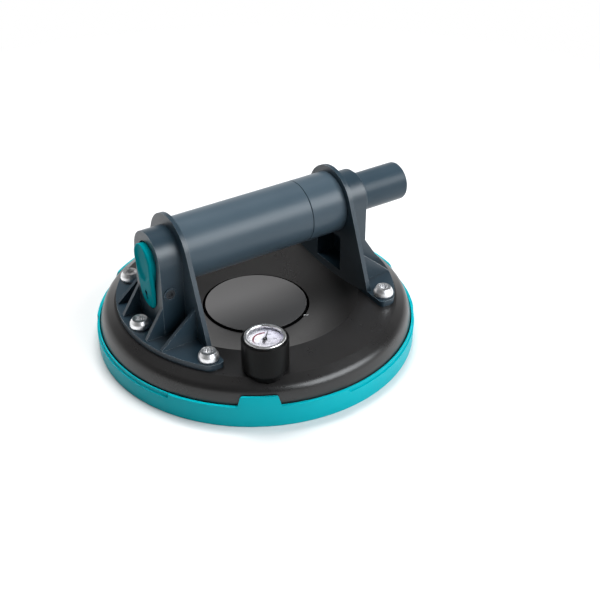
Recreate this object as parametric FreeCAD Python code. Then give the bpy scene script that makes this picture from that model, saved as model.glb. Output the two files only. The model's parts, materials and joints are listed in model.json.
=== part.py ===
import FreeCAD, Part
import math
import os

# Hand-held vacuum lifter for floor tiles: a round suction head, a bridge handle that holds a
# push pump, a vacuum gauge, and a clip-on cover over the rubber pad. Millimetres, +Z up.
# The origin is the centre of the cover's underside. The handle's axis runs along X, with the
# pump's plunger at +X and the release lever at -X.

os.makedirs("parts", exist_ok=True)
Vec = FreeCAD.Vector
X_AXIS, Y_AXIS, Z_AXIS = Vec(1, 0, 0), Vec(0, 1, 0), Vec(0, 0, 1)

# ---------------------------------------------------------------- driving dimensions
# protective cover
COVER_R_LOW, COVER_R_TOP = 107.7, 107.9   # outer radius at the floor and at the top of the wall
COVER_TOP = 15.4
COVER_INNER_R = 106.0
COVER_FLOOR = 2.2
LEDGE_DEPTH, LEDGE_LIP = 2.8, 0.9         # finger ledges cut into the top of the wall
LEDGE_HALF_ANGLE = 29.0
TAB_ANGLES = (0.0, 120.0, 240.0)
TAB_WIDTH_LOW, TAB_WIDTH_TOP, TAB_CORNER = 27.2, 24.6, 2.0
TAB_TOP, TAB_THICK, TAB_GAP = 21.9, 1.4, 0.4

# disc: radius and height of each turn of its upper profile
RIM_R, RIM_LOW, RIM_TOP = 105.3, 8.0, 16.4
SHOULDER_R, SHOULDER_Z = 102.5, 25.0      # a point half-way round the rounded outer slope
RIDGE_R, RIDGE_Z = 95.1, 29.2
CREST_R, CREST_Z = 69.4, 30.5
WELL_R, WELL_EDGE_Z, WELL_FLOOR_Z = 36.4, 20.1, 16.6
SHELL = 3.0
CHAMBER_R, CHAMBER_WALL = 26.0, 3.0
RIB_COUNT, RIB_THICK = 6, 2.0
NUT_BOSS_R, GAUGE_BOSS_R, TUBE_BOSS_R = 7.0, 8.0, 6.0  # bosses under the band
CHANNEL_Z, CHANNEL_BOSS_R, CHANNEL_R = 12.6, 2.9, 1.5
MARK_ANGLE, MARK_HALF = -57.0, 0.55

# rubber pad and the plate that it is bonded to
PLATE_LOW, PLATE_TOP, PLATE_R = 7.4, 9.6, 102.2
PAD_LOW, PAD_R, PAD_HOLE_R = 2.6, 105.0, 18.0
PAD_RECESS, LIP_INNER_R, RECESS_R = 2.6, 98.0, 91.5  # the lip, and the shallow space inside it
GAUGE_PORT_R, AIR_PORT_R, AIR_PORT_PCD, AIR_PORTS = 1.6, 3.0, 10.0, 4

# cap in the middle of the disc
CAP_R, CAP_TOP, CAP_THICK = 34.6, 20.9, 3.4
CAP_FLANGE_R = 35.6
SKIRT_R, SKIRT_WALL, SKIRT_DEPTH = 25.4, 3.4, 4.0
CAP_GROOVE, CAP_GROOVE_WIDTH = 1.5, 2.2   # depth and width of the groove for its seal

# handle
HANDLE_Z = 81.4
GRIP_R, SEAM_X, SEAM_GAP = 20.9, 33.2, 0.3
END_EDGE, SEAM_EDGE = 0.3, 0.5            # chamfers on the rubber sleeves
BARREL_R, BORE_R = 17.1, 14.7
PLATE_IN, PLATE_OUT = 59.5, 62.4          # faces of each bracket's upright plate
ARCH_R, FLARE_Y = 25.1, 47.3              # top of the upright, and its half-width at the foot
COLUMN_END, COLUMN_HALF, COLUMN_WALL = 77.6, 17.8, 3.9
FOOT_LOW, FOOT_TOP, FOOT_R, FOOT_HALF = 24.0, 33.4, 93.6, 62.6
FOOT_NOSE, FOOT_HEEL = 8.0, 3.0           # corner radii at the foot's outer and inner ends
RIB_A_Y, RIB_A_X, RIB_A_Z = 16.5, 90.4, 53.9
RIB_B_Y, RIB_B_X, RIB_B_Z = 31.6, 87.3, 55.8
WEB_THICK = 2.5

# bracket screws
SCREW_PCD_R, SCREW_ANGLE = 86.2, 39.4
SCREW_SHANK_R, SCREW_HEAD_R, SCREW_HEAD_H = 2.95, 6.7, 6.3
SCREW_SOCKET, SCREW_SOCKET_DEPTH = 5.0, 3.2
NUT_FLATS, NUT_TOP = 9.6, 18.4
SCREW_CLEAR = 0.35

# pump
ROD_R, ROD_END, ROD_DOME = 13.2, 117.0, 2.4
PISTON_FRONT, PISTON_LEN, PISTON_R = 45.0, 10.0, 14.4
BUSH_R, BUSH_COLLAR_R, BUSH_COLLAR = 15.2, 16.4, 2.2
RUNNING_FIT = 0.08
VALVE_FACE = -40.0
RING_GROOVES, RING_GROOVE, RING_WIRE = (-55.8, -46.8), 2.4, 0.76
SPIGOT_R, SPIGOT_END = 12.8, -67.5
POPPET_X, POPPET_R = -50.0, 3.9
PORT_R, POPPET_BORE_R, RETAINER_HOLES = 1.5, 5.0, 3
TUBE_X, TUBE_R, TUBE_BORE_R = -65.2, 2.75, 1.5
FITTING_LOW, FITTING_R, BARB_H = 18.0, 3.85, 8.0

# release lever, its pin, and the stem that it pushes
PIVOT_X, PIVOT_Z = -72.1, 62.6
LEVER_TOP_R, LEVER_TOP_Z = 11.2, 80.8
LEVER_LOW_R, LEVER_LOW_Z = 5.9, 51.4
LEVER_BACK, LEVER_GAP = -72.6, 0.9
LEVER_SWEEP_R = 31.2                      # the top and bottom are rounded about the pin
LEVER_TOE, LEVER_WAIST, LEVER_CROWN = 1.8, 7.6, 10.2  # how far the front stands out, going up
THUMB_R, THUMB_DEPTH = 17.0, 2.4
LUG_R, LUG_HALF = 3.8, 7.2
PIN_R, PIN_HEAD_R, PIN_HEAD_H = 2.2, 3.2, 2.4
BOSS_R, BOSS_PROUD = 4.4, 1.0
STEM_END, STEM_COLLAR, STEM_NECK, STEM_INNER = -72.2, -71.2, -64.0, -60.0
STEM_R, STEM_NECK_R, STEM_TRAVEL = 2.0, 1.1, 3.0
STEM_COLLAR_R, SEAL_SEAT_R, SEAL_SEAT = 3.6, 3.4, 1.9

# vacuum gauge
GAUGE_X, GAUGE_Y = -39.2, -76.8
GAUGE_R, GAUGE_TOP, GAUGE_BORE_R = 14.7, 52.4, 13.1
GAUGE_STEM_R, GAUGE_STEM_LOW, GAUGE_SHOULDER = 3.9, 9.8, 16.0
SPINDLE_R, SEAL_WIRE_R = 0.4, 0.35
NEEDLE_ANGLE = 46.0                       # direction of the pointer seen from above, from +X
# heights in the gauge, from the top of its housing
BORE_FLOOR, CASE_FLOOR, CASE_RIM = -14.3, -12.6, -2.8
DIAL_LOW, DIAL_TOP, NEEDLE_LOW, LENS_EDGE, LENS_CROWN = -2.7, -2.1, -1.5, 0.7, 0.5
TIP_R, TAIL_R, HUB_R, WEIGHT_R = 8.6, 3.6, 1.4, 1.0   # the pointer's reach each way, and its discs
BOURDON_R, BOURDON_WIRE_R, BOURDON_Z, BOURDON_SWEEP = 8.4, 1.2, -9.8, 265.0

# how finely round sections are cut
ARC_CHORDS, SECTION_SIDES = 4, 6
SPRING_SIDES, SPRING_STEPS = 4, 10        # of the wire's section, and in each turn

SHAPES = {}


# ---------------------------------------------------------------- helpers
def cyl(radius, height, at, along=Z_AXIS):
    return Part.makeCylinder(radius, height, at, along)


def tube(outer, inner, height, at, along=Z_AXIS):
    return cyl(outer, height, at, along).cut(cyl(inner, height, at, along))


def box(x0, x1, y0, y1, z0, z1):
    return Part.makeBox(x1 - x0, y1 - y0, z1 - z0, Vec(x0, y0, z0))


def face_of(profile, place):
    """Face inside (a, b) corners. (a1, b1, a2, b2) is an arc through the first to the second."""
    edges = []
    at = place(*profile[-1][-2:])
    for step in profile:
        end = place(*step[-2:])
        if len(step) == 4:
            edges.append(Part.Arc(at, place(*step[:2]), end).toShape())
        else:
            edges.append(Part.LineSegment(at, end).toShape())
        at = end
    return Part.Face(Part.Wire(edges))


def chords(profile):
    """The same corners with each arc cut into short chords, so that a turned part has only cones."""
    corners = []
    at = profile[-1][-2:]
    for step in profile:
        if len(step) == 4:
            arc = Part.Arc(Vec(*at, 0), Vec(*step[:2], 0), Vec(*step[2:], 0)).toShape()
            corners += [(p.x, p.y) for p in arc.discretize(Number=ARC_CHORDS + 1)[1:]]
        else:
            corners.append(step)
        at = step[-2:]
    return corners


def turned(profile, at=Vec(0, 0, 0), angle=360.0):
    """Part turned about a vertical axis, from (radius, height) corners and arcs."""
    return face_of(chords(profile), lambda r, h: at + Vec(r, 0, h)).revolve(at, Z_AXIS, angle)


def along_x(profile):
    """Part turned on the handle's axis, from (radius, x) corners and arcs."""
    axis = on_axis(0)
    return face_of(chords(profile), lambda r, x: Vec(x, 0, HANDLE_Z + r)).revolve(axis, X_AXIS, 360)


def round_section(middle_r, wire_r, middle_h=0.0):
    """Corners of a wire's or seal's section, for turning."""
    corners = [polar(wire_r, 360.0 * k / SECTION_SIDES) for k in range(SECTION_SIDES)]
    return [(middle_r + c.x, middle_h + c.y) for c in corners]


def on_axis(x):
    return Vec(x, 0, HANDLE_Z)


def prism(points, direction):
    return Part.Face(Part.makePolygon(list(points) + [points[0]])).extrude(direction)


def union(solids):
    solids = list(solids)
    return solids[0].fuse(solids[1:]).removeSplitter()


def polar(radius, degrees, z=0.0):
    a = math.radians(degrees)
    return Vec(radius * math.cos(a), radius * math.sin(a), z)


def spun(shape, degrees, centre=Vec(0, 0, 0)):
    copy = shape.copy()
    copy.rotate(centre, Z_AXIS, degrees)
    return copy


def hexagon(across_flats, height, at, along=Z_AXIS):
    other = X_AXIS if along != X_AXIS else Z_AXIS
    side = along.cross(other)
    corners = []
    for k in range(6):
        arm = polar(across_flats / math.sqrt(3), 60 * k)
        corners.append(at + other * arm.x + side * arm.y)
    return prism(corners, along * height)


def coil(coil_r, wire_r, length, turns, at):
    """Compression spring along +X, lofted through wire sections set round a helix."""
    sections = []
    corners = [polar(wire_r, 360.0 * side / SPRING_SIDES) for side in range(SPRING_SIDES)]
    for k in range(turns * SPRING_STEPS + 1):
        out = polar(1.0, 360.0 * k / SPRING_STEPS)
        arm = Vec(0, out.x, out.y)
        middle = at + X_AXIS * (length * k / (turns * SPRING_STEPS)) + arm * coil_r
        points = [middle + arm * c.x + X_AXIS * c.y for c in corners]
        sections.append(Part.makePolygon(points + [points[0]]))
    return Part.makeLoft(sections, True, True)


def keep(name, shape):
    SHAPES[name] = shape


# ---------------------------------------------------------------- suction head
def disc_envelope():
    """Everything under the disc's upper surface, for seating what stands on it."""
    return turned([(0, 0), (RIM_R, 0), (RIM_R, RIM_TOP), (SHOULDER_R, SHOULDER_Z, RIDGE_R, RIDGE_Z),
                   (CREST_R, CREST_Z), (WELL_R, WELL_EDGE_Z), (0, WELL_EDGE_Z)])


def slope_r(z):
    """Radius of the disc's rounded outer slope at a height: a circle through three points."""
    (r1, z1), (r2, z2), (r3, z3) = (RIM_R, RIM_TOP), (SHOULDER_R, SHOULDER_Z), (RIDGE_R, RIDGE_Z)
    a, b = r2 - r1, z2 - z1
    c, d = r3 - r2, z3 - z2
    e = a * (r1 + r2) / 2 + b * (z1 + z2) / 2
    f = c * (r2 + r3) / 2 + d * (z2 + z3) / 2
    centre_r = (e * d - b * f) / (a * d - b * c)
    centre_z = (a * f - e * c) / (a * d - b * c)
    radius = math.hypot(r1 - centre_r, z1 - centre_z)
    return centre_r + math.sqrt(radius ** 2 - (z - centre_z) ** 2)


def screw_angles(side):
    middle = 0.0 if side > 0 else 180.0
    return [middle - SCREW_ANGLE, middle, middle + SCREW_ANGLE]


def screw_places(z):
    return [polar(SCREW_PCD_R, angle, z) for side in (-1, 1) for angle in screw_angles(side)]


def disc_skin():
    """The moulded shell: outer wall, slope, band, dish, well and the chamber's wall."""
    under = WELL_FLOOR_Z - SHELL
    return turned([
        (CHAMBER_R, PLATE_TOP), (CHAMBER_R + CHAMBER_WALL, PLATE_TOP),
        (CHAMBER_R + CHAMBER_WALL, under), (WELL_R + SHELL, under),
        (WELL_R + SHELL, WELL_EDGE_Z - SHELL + 0.8), (CREST_R, CREST_Z - SHELL),
        (RIDGE_R - 1.0, RIDGE_Z - SHELL),
        (SHOULDER_R - 2.1, SHOULDER_Z - 2.1), (RIM_R - SHELL, RIM_TOP - 0.4),
        (RIM_R - SHELL, RIM_LOW), (RIM_R, RIM_LOW), (RIM_R, RIM_TOP),
        (SHOULDER_R, SHOULDER_Z, RIDGE_R, RIDGE_Z), (CREST_R, CREST_Z),
        (WELL_R, WELL_EDGE_Z), (WELL_R, WELL_FLOOR_Z), (CHAMBER_R, WELL_FLOOR_Z)])


def disc_rib():
    """One radial web under the shell, from the chamber's wall to the rim."""
    inner, outer = CHAMBER_R + 1.0, RIM_R - SHELL / 2
    web = [(inner, PLATE_TOP), (outer, PLATE_TOP), (outer, RIM_TOP), (SHOULDER_R - 1, SHOULDER_Z - 1),
           (RIDGE_R, RIDGE_Z - SHELL / 2), (CREST_R, CREST_Z - SHELL / 2),
           (WELL_R + 1, WELL_EDGE_Z - SHELL / 2), (WELL_R + 1, WELL_FLOOR_Z - SHELL / 2),
           (inner, WELL_FLOOR_Z - SHELL / 2)]
    return prism([Vec(r, -RIB_THICK / 2, z) for r, z in web], Vec(0, RIB_THICK, 0))


def base_disc():
    rib = disc_rib()
    pitch = 360.0 / RIB_COUNT
    gauge_at, tube_at = Vec(GAUGE_X, GAUGE_Y, 0), Vec(TUBE_X, 0, 0)
    solids = [disc_skin()] + [spun(rib, pitch * (k + 0.5)) for k in range(RIB_COUNT)]
    solids += [cyl(NUT_BOSS_R, CREST_Z - NUT_TOP, at) for at in screw_places(NUT_TOP + 0.2)]
    solids.append(cyl(GAUGE_BOSS_R, CREST_Z - GAUGE_SHOULDER, gauge_at + Z_AXIS * GAUGE_SHOULDER))
    solids.append(cyl(CHANNEL_BOSS_R, -TUBE_X - CHAMBER_R + 1, tube_at + Z_AXIS * CHANNEL_Z, X_AXIS))
    solids.append(cyl(TUBE_BOSS_R, CREST_Z - PLATE_TOP, tube_at + Z_AXIS * PLATE_TOP))
    disc = union(solids).common(disc_envelope().cut(cyl(CHAMBER_R, CREST_Z, Vec(0, 0, 0))))
    disc = disc.removeSplitter()
    for at in screw_places(PLATE_TOP):
        disc = disc.cut(cyl(SCREW_SHANK_R + SCREW_CLEAR, CREST_Z, at))
    disc = disc.cut(cyl(GAUGE_STEM_R + 0.1, CREST_Z, gauge_at + Z_AXIS * PLATE_TOP))
    disc = disc.cut(cyl(CHANNEL_R, -TUBE_X - CHAMBER_R + 2, tube_at + Z_AXIS * CHANNEL_Z, X_AXIS))
    disc = disc.cut(cyl(CHANNEL_R, CREST_Z, tube_at + Z_AXIS * CHANNEL_Z))
    disc = disc.cut(cyl(FITTING_R + 0.05, CREST_Z, tube_at + Z_AXIS * (FITTING_LOW - 0.2)))
    return disc.cut(index_block(0.0))


def index_block(clearance):
    """The small tick set in the lip of the well, beside the cap."""
    r0, r1 = WELL_R - 1.2, WELL_R + 2.6
    half = MARK_HALF - clearance
    low, flush = WELL_EDGE_Z - 1.2 + clearance, WELL_EDGE_Z + 0.05
    rise = (r1 - WELL_R) * (CREST_Z - WELL_EDGE_Z) / (CREST_R - WELL_R)
    block = prism([Vec(r0, -half, low), Vec(r1 - clearance, -half, low),
                   Vec(r1 - clearance, -half, flush + rise), Vec(WELL_R, -half, flush),
                   Vec(r0, -half, flush)], Vec(0, 2 * half, 0))
    return spun(block, MARK_ANGLE)


def index_mark():
    return index_block(0.02).cut(cyl(CAP_FLANGE_R + 0.1, CREST_Z, Vec(0, 0, 0)))


def suction_pad():
    """Rubber disc with a sealing lip round its edge and a shallow vacuum space inside it."""
    web = PAD_LOW + PAD_RECESS
    pad = turned([(PAD_HOLE_R, PLATE_LOW), (PAD_R - 0.6, PLATE_LOW), (PAD_R, PLATE_LOW - 0.8),
                  (PAD_R, PAD_LOW + 0.8), (PAD_R - 0.9, PAD_LOW), (LIP_INNER_R, PAD_LOW),
                  (LIP_INNER_R - 1.8, PAD_LOW + PAD_RECESS / 2), (RECESS_R, web), (PAD_HOLE_R, web)])
    return pad.cut(cyl(GAUGE_PORT_R + 0.4, PLATE_LOW, Vec(GAUGE_X, GAUGE_Y, PAD_LOW)))


def pad_plate():
    thick = PLATE_TOP - PLATE_LOW
    plate = cyl(PLATE_R, thick, Vec(0, 0, PLATE_LOW))
    for k in range(AIR_PORTS):
        plate = plate.cut(cyl(AIR_PORT_R, thick, polar(AIR_PORT_PCD, 360 * k / AIR_PORTS, PLATE_LOW)))
    return plate.cut(cyl(GAUGE_PORT_R, thick, Vec(GAUGE_X, GAUGE_Y, PLATE_LOW)))


def plate_nuts():
    """Tall hexagon nuts on the plate, which the bracket screws pull up into."""
    height = NUT_TOP - PLATE_TOP
    nuts = [hexagon(NUT_FLATS, height, at).cut(cyl(SCREW_SHANK_R + 0.02, height, at))
            for at in screw_places(PLATE_TOP)]
    return Part.makeCompound(nuts)


def filter_cap():
    low, flange_low, skirt_low = CAP_TOP - CAP_THICK, WELL_FLOOR_Z + 0.1, WELL_FLOOR_Z - SKIRT_DEPTH
    groove_low = skirt_low + 1.1
    groove_top = groove_low + CAP_GROOVE_WIDTH
    return turned([(0, low), (SKIRT_R - SKIRT_WALL, low), (SKIRT_R - SKIRT_WALL, skirt_low),
                   (SKIRT_R, skirt_low), (SKIRT_R, groove_low), (SKIRT_R - CAP_GROOVE, groove_low),
                   (SKIRT_R - CAP_GROOVE, groove_top), (SKIRT_R, groove_top), (SKIRT_R, flange_low),
                   (CAP_FLANGE_R, flange_low), (CAP_FLANGE_R, CAP_TOP - 1.5), (CAP_R, CAP_TOP - 1.5),
                   (CAP_R, CAP_TOP - 0.5), (CAP_R - 0.5, CAP_TOP), (0, CAP_TOP)])


def cap_seal():
    ring_r = (SKIRT_R - CAP_GROOVE + CHAMBER_R) / 2
    middle = WELL_FLOOR_Z - SKIRT_DEPTH + 1.1 + CAP_GROOVE_WIDTH / 2
    return turned(round_section(ring_r, (CHAMBER_R - SKIRT_R + CAP_GROOVE) / 2 - 0.03, middle))


def air_filter():
    low = PLATE_TOP + 0.2
    return cyl(CHAMBER_R - 0.4, WELL_FLOOR_Z - SKIRT_DEPTH - 0.2 - low, Vec(0, 0, low))


def protective_cover():
    dish = turned([(0, 0), (COVER_R_LOW - 0.8, 0), (COVER_R_LOW, 0.8),
                   (COVER_R_TOP, COVER_TOP), (COVER_INNER_R, COVER_TOP),
                   (COVER_INNER_R, COVER_FLOOR + 1.5), (COVER_INNER_R - 0.8, COVER_FLOOR),
                   (0, COVER_FLOOR)])
    lip_r, beyond = COVER_INNER_R + LEDGE_LIP, COVER_R_TOP + 2
    ledge = turned([(lip_r, COVER_TOP - LEDGE_DEPTH), (beyond, COVER_TOP - LEDGE_DEPTH - 0.5),
                    (beyond, COVER_TOP + 1), (lip_r, COVER_TOP + 1)], angle=2 * LEDGE_HALF_ANGLE)
    for angle in TAB_ANGLES:
        dish = dish.cut(spun(ledge, angle + 60.0 - LEDGE_HALF_ANGLE))
    return dish


def cover_tabs():
    """Spring tabs that stand on the cover's wall and hug the disc's outer slope."""
    waist = RIM_TOP + 1.0
    inner = [(slope_r(z) + TAB_GAP, z) for z in (TAB_TOP, (TAB_TOP + waist) / 2, waist)]
    section = [(RIM_R + TAB_GAP, COVER_TOP), (COVER_R_TOP, COVER_TOP),
               (inner[0][0] + TAB_THICK, TAB_TOP)] + inner
    band = spun(turned(section, angle=20.0), -10.0)
    low, top, back = TAB_WIDTH_LOW / 2, TAB_WIDTH_TOP / 2, RIM_R - 15
    turn = TAB_CORNER * (1 - math.sqrt(0.5))
    outline = [(low, COVER_TOP), (top, TAB_TOP - TAB_CORNER),
               (top - turn, TAB_TOP - turn, top - TAB_CORNER, TAB_TOP), (TAB_CORNER - top, TAB_TOP),
               (turn - top, TAB_TOP - turn, -top, TAB_TOP - TAB_CORNER), (-low, COVER_TOP)]
    tab = band.common(face_of(outline, lambda y, z: Vec(back, y, z)).extrude(Vec(25, 0, 0)))
    return Part.makeCompound([spun(tab, angle) for angle in TAB_ANGLES])


def build_suction_head():
    keep("base_disc", base_disc())
    keep("suction_pad", suction_pad())
    keep("pad_plate", pad_plate())
    keep("plate_nuts", plate_nuts())
    keep("filter_cap", filter_cap())
    keep("cap_seal", cap_seal())
    keep("air_filter", air_filter())
    keep("index_mark", index_mark())
    keep("protective_cover", protective_cover())
    keep("cover_tabs", cover_tabs())


# ---------------------------------------------------------------- brackets
def upright():
    """Plate with an arch over the barrel and straight flanks that run out to the foot."""
    foot_z = FOOT_TOP - 2
    reach, bearing = math.hypot(FLARE_Y, foot_z - HANDLE_Z), math.atan2(foot_z - HANDLE_Z, FLARE_Y)
    turn = bearing + math.acos(ARCH_R / reach)
    touch_y, touch_z = ARCH_R * math.cos(turn), HANDLE_Z + ARCH_R * math.sin(turn)
    outline = [(-FLARE_Y, foot_z), (-touch_y, touch_z), (0, HANDLE_Z + ARCH_R, touch_y, touch_z),
               (FLARE_Y, foot_z)]
    return face_of(outline, lambda y, z: Vec(PLATE_IN, y, z)).extrude(Vec(PLATE_OUT - PLATE_IN, 0, 0))


def arch_block(half, x0, x1, z_low):
    """Block with a half-round top about the handle's axis."""
    return box(x0, x1, -half, half, z_low, HANDLE_Z).fuse(
        cyl(half, x1 - x0, on_axis(x0), X_AXIS)).removeSplitter()


def foot():
    plate = cyl(FOOT_R, FOOT_TOP - FOOT_LOW, Vec(0, 0, FOOT_LOW)).common(
        box(PLATE_IN, FOOT_R, -FOOT_HALF, FOOT_HALF, FOOT_LOW, FOOT_TOP))
    for radius, at_heel in ((FOOT_NOSE, False), (FOOT_HEEL, True)):
        corners = [e for e in plate.Edges if abs(e.tangentAt(e.FirstParameter).z) > 0.99
                   and (e.CenterOfMass.x < PLATE_IN + 0.1) == at_heel
                   and abs(e.CenterOfMass.y) > FOOT_HALF - 0.1]
        plate = plate.makeFillet(radius, corners)
    return plate


def gusset(y, x_high, z_high, x_low):
    half, z_foot = WEB_THICK / 2, FOOT_TOP - 0.5
    return prism([Vec(x_high - 1, y - half, z_foot), Vec(x_low, y - half, z_foot),
                  Vec(x_low, y - half, FOOT_TOP + 0.6), Vec(x_high, y - half, z_high),
                  Vec(x_high - 1, y - half, z_high)], Vec(0, WEB_THICK, 0))


def bracket_blank():
    """Bracket on the +X side, before the holes that its own end needs."""
    gussets = [gusset(side * RIB_A_Y, COLUMN_END, RIB_A_Z, RIB_A_X) for side in (-1, 1)]
    gussets += [gusset(side * RIB_B_Y, PLATE_OUT, RIB_B_Z, RIB_B_X) for side in (-1, 1)]
    column = arch_block(COLUMN_HALF, PLATE_OUT - 0.5, COLUMN_END, FOOT_TOP - 1)
    body = union([upright(), column, foot()] + gussets)
    inside = COLUMN_HALF - COLUMN_WALL
    body = body.cut(arch_block(inside, PLATE_OUT, COLUMN_END - COLUMN_WALL, FOOT_TOP))
    under_grip = HANDLE_Z - GRIP_R - 1.2
    body = body.cut(box(PLATE_IN - 1, PLATE_OUT + 1, -inside, inside, FOOT_TOP, under_grip))
    for angle in screw_angles(1):
        body = body.cut(cyl(SCREW_SHANK_R + SCREW_CLEAR, FOOT_TOP, polar(SCREW_PCD_R, angle, FOOT_LOW)))
    return body.cut(disc_envelope())


def lever_outline(grow, x, depth):
    """Egg-shaped prism along X: a large arc above, a small one below, tangent flanks between."""
    top_r, low_r = LEVER_TOP_R + grow, LEVER_LOW_R + grow
    lean = math.asin((top_r - low_r) / (LEVER_TOP_Z - LEVER_LOW_Z))
    c, s = math.cos(lean), math.sin(lean)
    top_y, top_z = top_r * c, LEVER_TOP_Z - top_r * s
    low_y, low_z = low_r * c, LEVER_LOW_Z - low_r * s
    outline = [(-top_y, top_z), (0, LEVER_TOP_Z + top_r, top_y, top_z), (low_y, low_z),
               (0, LEVER_LOW_Z - low_r, -low_y, low_z)]
    return face_of(outline, lambda y, z: Vec(x, y, z)).extrude(Vec(depth, 0, 0))


def pivot(radius, y0, y1):
    return cyl(radius, y1 - y0, Vec(PIVOT_X, y0, PIVOT_Z), Y_AXIS)


def bracket_left():
    body = bracket_blank().mirror(Vec(0, 0, 0), X_AXIS)
    boss_face = -COLUMN_HALF - BOSS_PROUD
    body = body.fuse(pivot(BOSS_R, boss_face, -COLUMN_HALF + 1)).removeSplitter()
    body = body.cut(lever_outline(LEVER_GAP, -COLUMN_END - 1, COLUMN_WALL + 2))
    body = body.cut(pivot(PIN_R + 0.03, boss_face, COLUMN_HALF - 1.5))
    body = body.cut(pivot(PIN_HEAD_R + 0.1, boss_face, boss_face + PIN_HEAD_H))
    body = body.cut(cyl(SPIGOT_R + 0.02, PLATE_OUT - PLATE_IN + 6, on_axis(-PLATE_OUT - 2), X_AXIS))
    return body.cut(cyl(FITTING_R + 0.25, FOOT_TOP, Vec(TUBE_X, 0, FOOT_LOW)))


def bracket_right():
    return bracket_blank().cut(cyl(BUSH_R + 0.03, COLUMN_END, on_axis(PLATE_IN - 2), X_AXIS))


def screw():
    """Pan-head screw with a hexagon socket; its seat is at the origin."""
    length = FOOT_TOP - PLATE_TOP - 0.5
    head = turned([(0, 0), (SCREW_HEAD_R, 0), (SCREW_HEAD_R, 2.3), (SCREW_HEAD_R - 0.8, 4.9),
                   (SCREW_HEAD_R - 2.6, SCREW_HEAD_H), (0, SCREW_HEAD_H)])
    socket = hexagon(SCREW_SOCKET, SCREW_SOCKET_DEPTH + 1, Vec(0, 0, SCREW_HEAD_H - SCREW_SOCKET_DEPTH))
    return head.fuse(cyl(SCREW_SHANK_R, length, Vec(0, 0, -length))).removeSplitter().cut(socket)


def bracket_screws(side):
    screws = []
    for angle in screw_angles(side):
        one = screw()
        one.translate(polar(SCREW_PCD_R, angle, FOOT_TOP))
        screws.append(one)
    return Part.makeCompound(screws)


def build_brackets():
    keep("bracket_left", bracket_left())
    keep("bracket_right", bracket_right())
    keep("bracket_screws_left", bracket_screws(-1))
    keep("bracket_screws_right", bracket_screws(1))


# ---------------------------------------------------------------- grip and pump
def sleeve(x0, x1, edge_low, edge_high):
    """Rubber sleeve on the barrel, with a small chamfer at each end."""
    inner = BARREL_R + 0.05
    return along_x([(inner, x0), (GRIP_R - edge_low, x0), (GRIP_R, x0 + edge_low),
                    (GRIP_R, x1 - edge_high), (GRIP_R - edge_high, x1), (inner, x1)])


def plunger():
    front = ROD_END - ROD_DOME
    flat = 1.2
    return along_x([(0, PISTON_FRONT), (ROD_R, PISTON_FRONT), (ROD_R, front),
                    (ROD_R - 0.9, front + 1.1, ROD_R - 3.2, ROD_END - 0.7),
                    (ROD_R / 2, ROD_END - 0.15, flat, ROD_END), (0, ROD_END)])


def piston():
    back = PISTON_FRONT - PISTON_LEN
    seat = PISTON_R - 3.0
    return along_x([(0, back), (PISTON_R, back), (PISTON_R, back + 3), (seat, back + 3),
                    (seat, back + 6.6), (PISTON_R, back + 6.6), (PISTON_R, PISTON_FRONT),
                    (0, PISTON_FRONT)])


def piston_seal():
    """Lip seal in the piston's groove, with its lip towards the valve."""
    back, foot_r, lip_r = PISTON_FRONT - PISTON_LEN + 3.05, PISTON_R - 2.95, BORE_R - 0.08
    return along_x([(foot_r, back), (lip_r - 0.6, back), (lip_r - 0.6, back + 0.5), (lip_r, back + 3.3),
                    (lip_r - 1.2, back + 3.4), (lip_r - 2.0, back + 1.5), (foot_r + 0.6, back + 3.4),
                    (foot_r, back + 3.4)])


def guide_bushing():
    inner, outer, back = ROD_R + RUNNING_FIT, BORE_R - 0.03, PISTON_FRONT + 0.2
    collar_end = COLUMN_END + BUSH_COLLAR
    return along_x([(inner, back), (outer, back), (outer, PLATE_IN), (BUSH_R, PLATE_IN),
                    (BUSH_R, COLUMN_END), (BUSH_COLLAR_R, COLUMN_END), (BUSH_COLLAR_R, collar_end - 0.7),
                    (BUSH_COLLAR_R - 0.7, collar_end), (inner, collar_end)])


def valve_block():
    outer = BORE_R - 0.03
    body = along_x([(0, SPIGOT_END), (SPIGOT_R, SPIGOT_END), (SPIGOT_R, -PLATE_IN), (outer, -PLATE_IN),
                    (outer, VALVE_FACE), (0, VALVE_FACE)])
    for x in RING_GROOVES:
        groove_r = BORE_R - 2 * RING_WIRE - 0.15
        body = body.cut(tube(BORE_R + 1, groove_r, RING_GROOVE, on_axis(x - RING_GROOVE / 2), X_AXIS))
    body = body.cut(cyl(POPPET_BORE_R, VALVE_FACE - POPPET_X, on_axis(POPPET_X), X_AXIS))
    body = body.cut(cyl(PORT_R, POPPET_X - TUBE_X + 8, on_axis(TUBE_X + 7), X_AXIS))
    stem_bore = STEM_INNER + STEM_TRAVEL + 0.5 - SPIGOT_END
    body = body.cut(cyl(STEM_R + 0.1, stem_bore, on_axis(SPIGOT_END), X_AXIS))
    body = body.cut(cyl(SEAL_SEAT_R, SEAL_SEAT, on_axis(SPIGOT_END), X_AXIS))
    body = body.cut(cyl(PORT_R, SPIGOT_R + 1.2, Vec(TUBE_X, 0, HANDLE_Z - SPIGOT_R - 1.2)))
    return body.cut(cyl(TUBE_R + 0.02, 5, Vec(TUBE_X, 0, HANDLE_Z - SPIGOT_R - 1.5)))


def barrel_seals():
    rings = [along_x(round_section(BORE_R - RING_WIRE - 0.08, RING_WIRE, x)) for x in RING_GROOVES]
    return Part.makeCompound(rings)


def check_poppet():
    """Disc that closes the valve's port, with a short stalk inside its spring."""
    return along_x([(0, POPPET_X), (POPPET_R, POPPET_X), (POPPET_R, POPPET_X + 1.4),
                    (1.0, POPPET_X + 1.4), (1.0, POPPET_X + 5.0), (0, POPPET_X + 5.0)])


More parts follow.
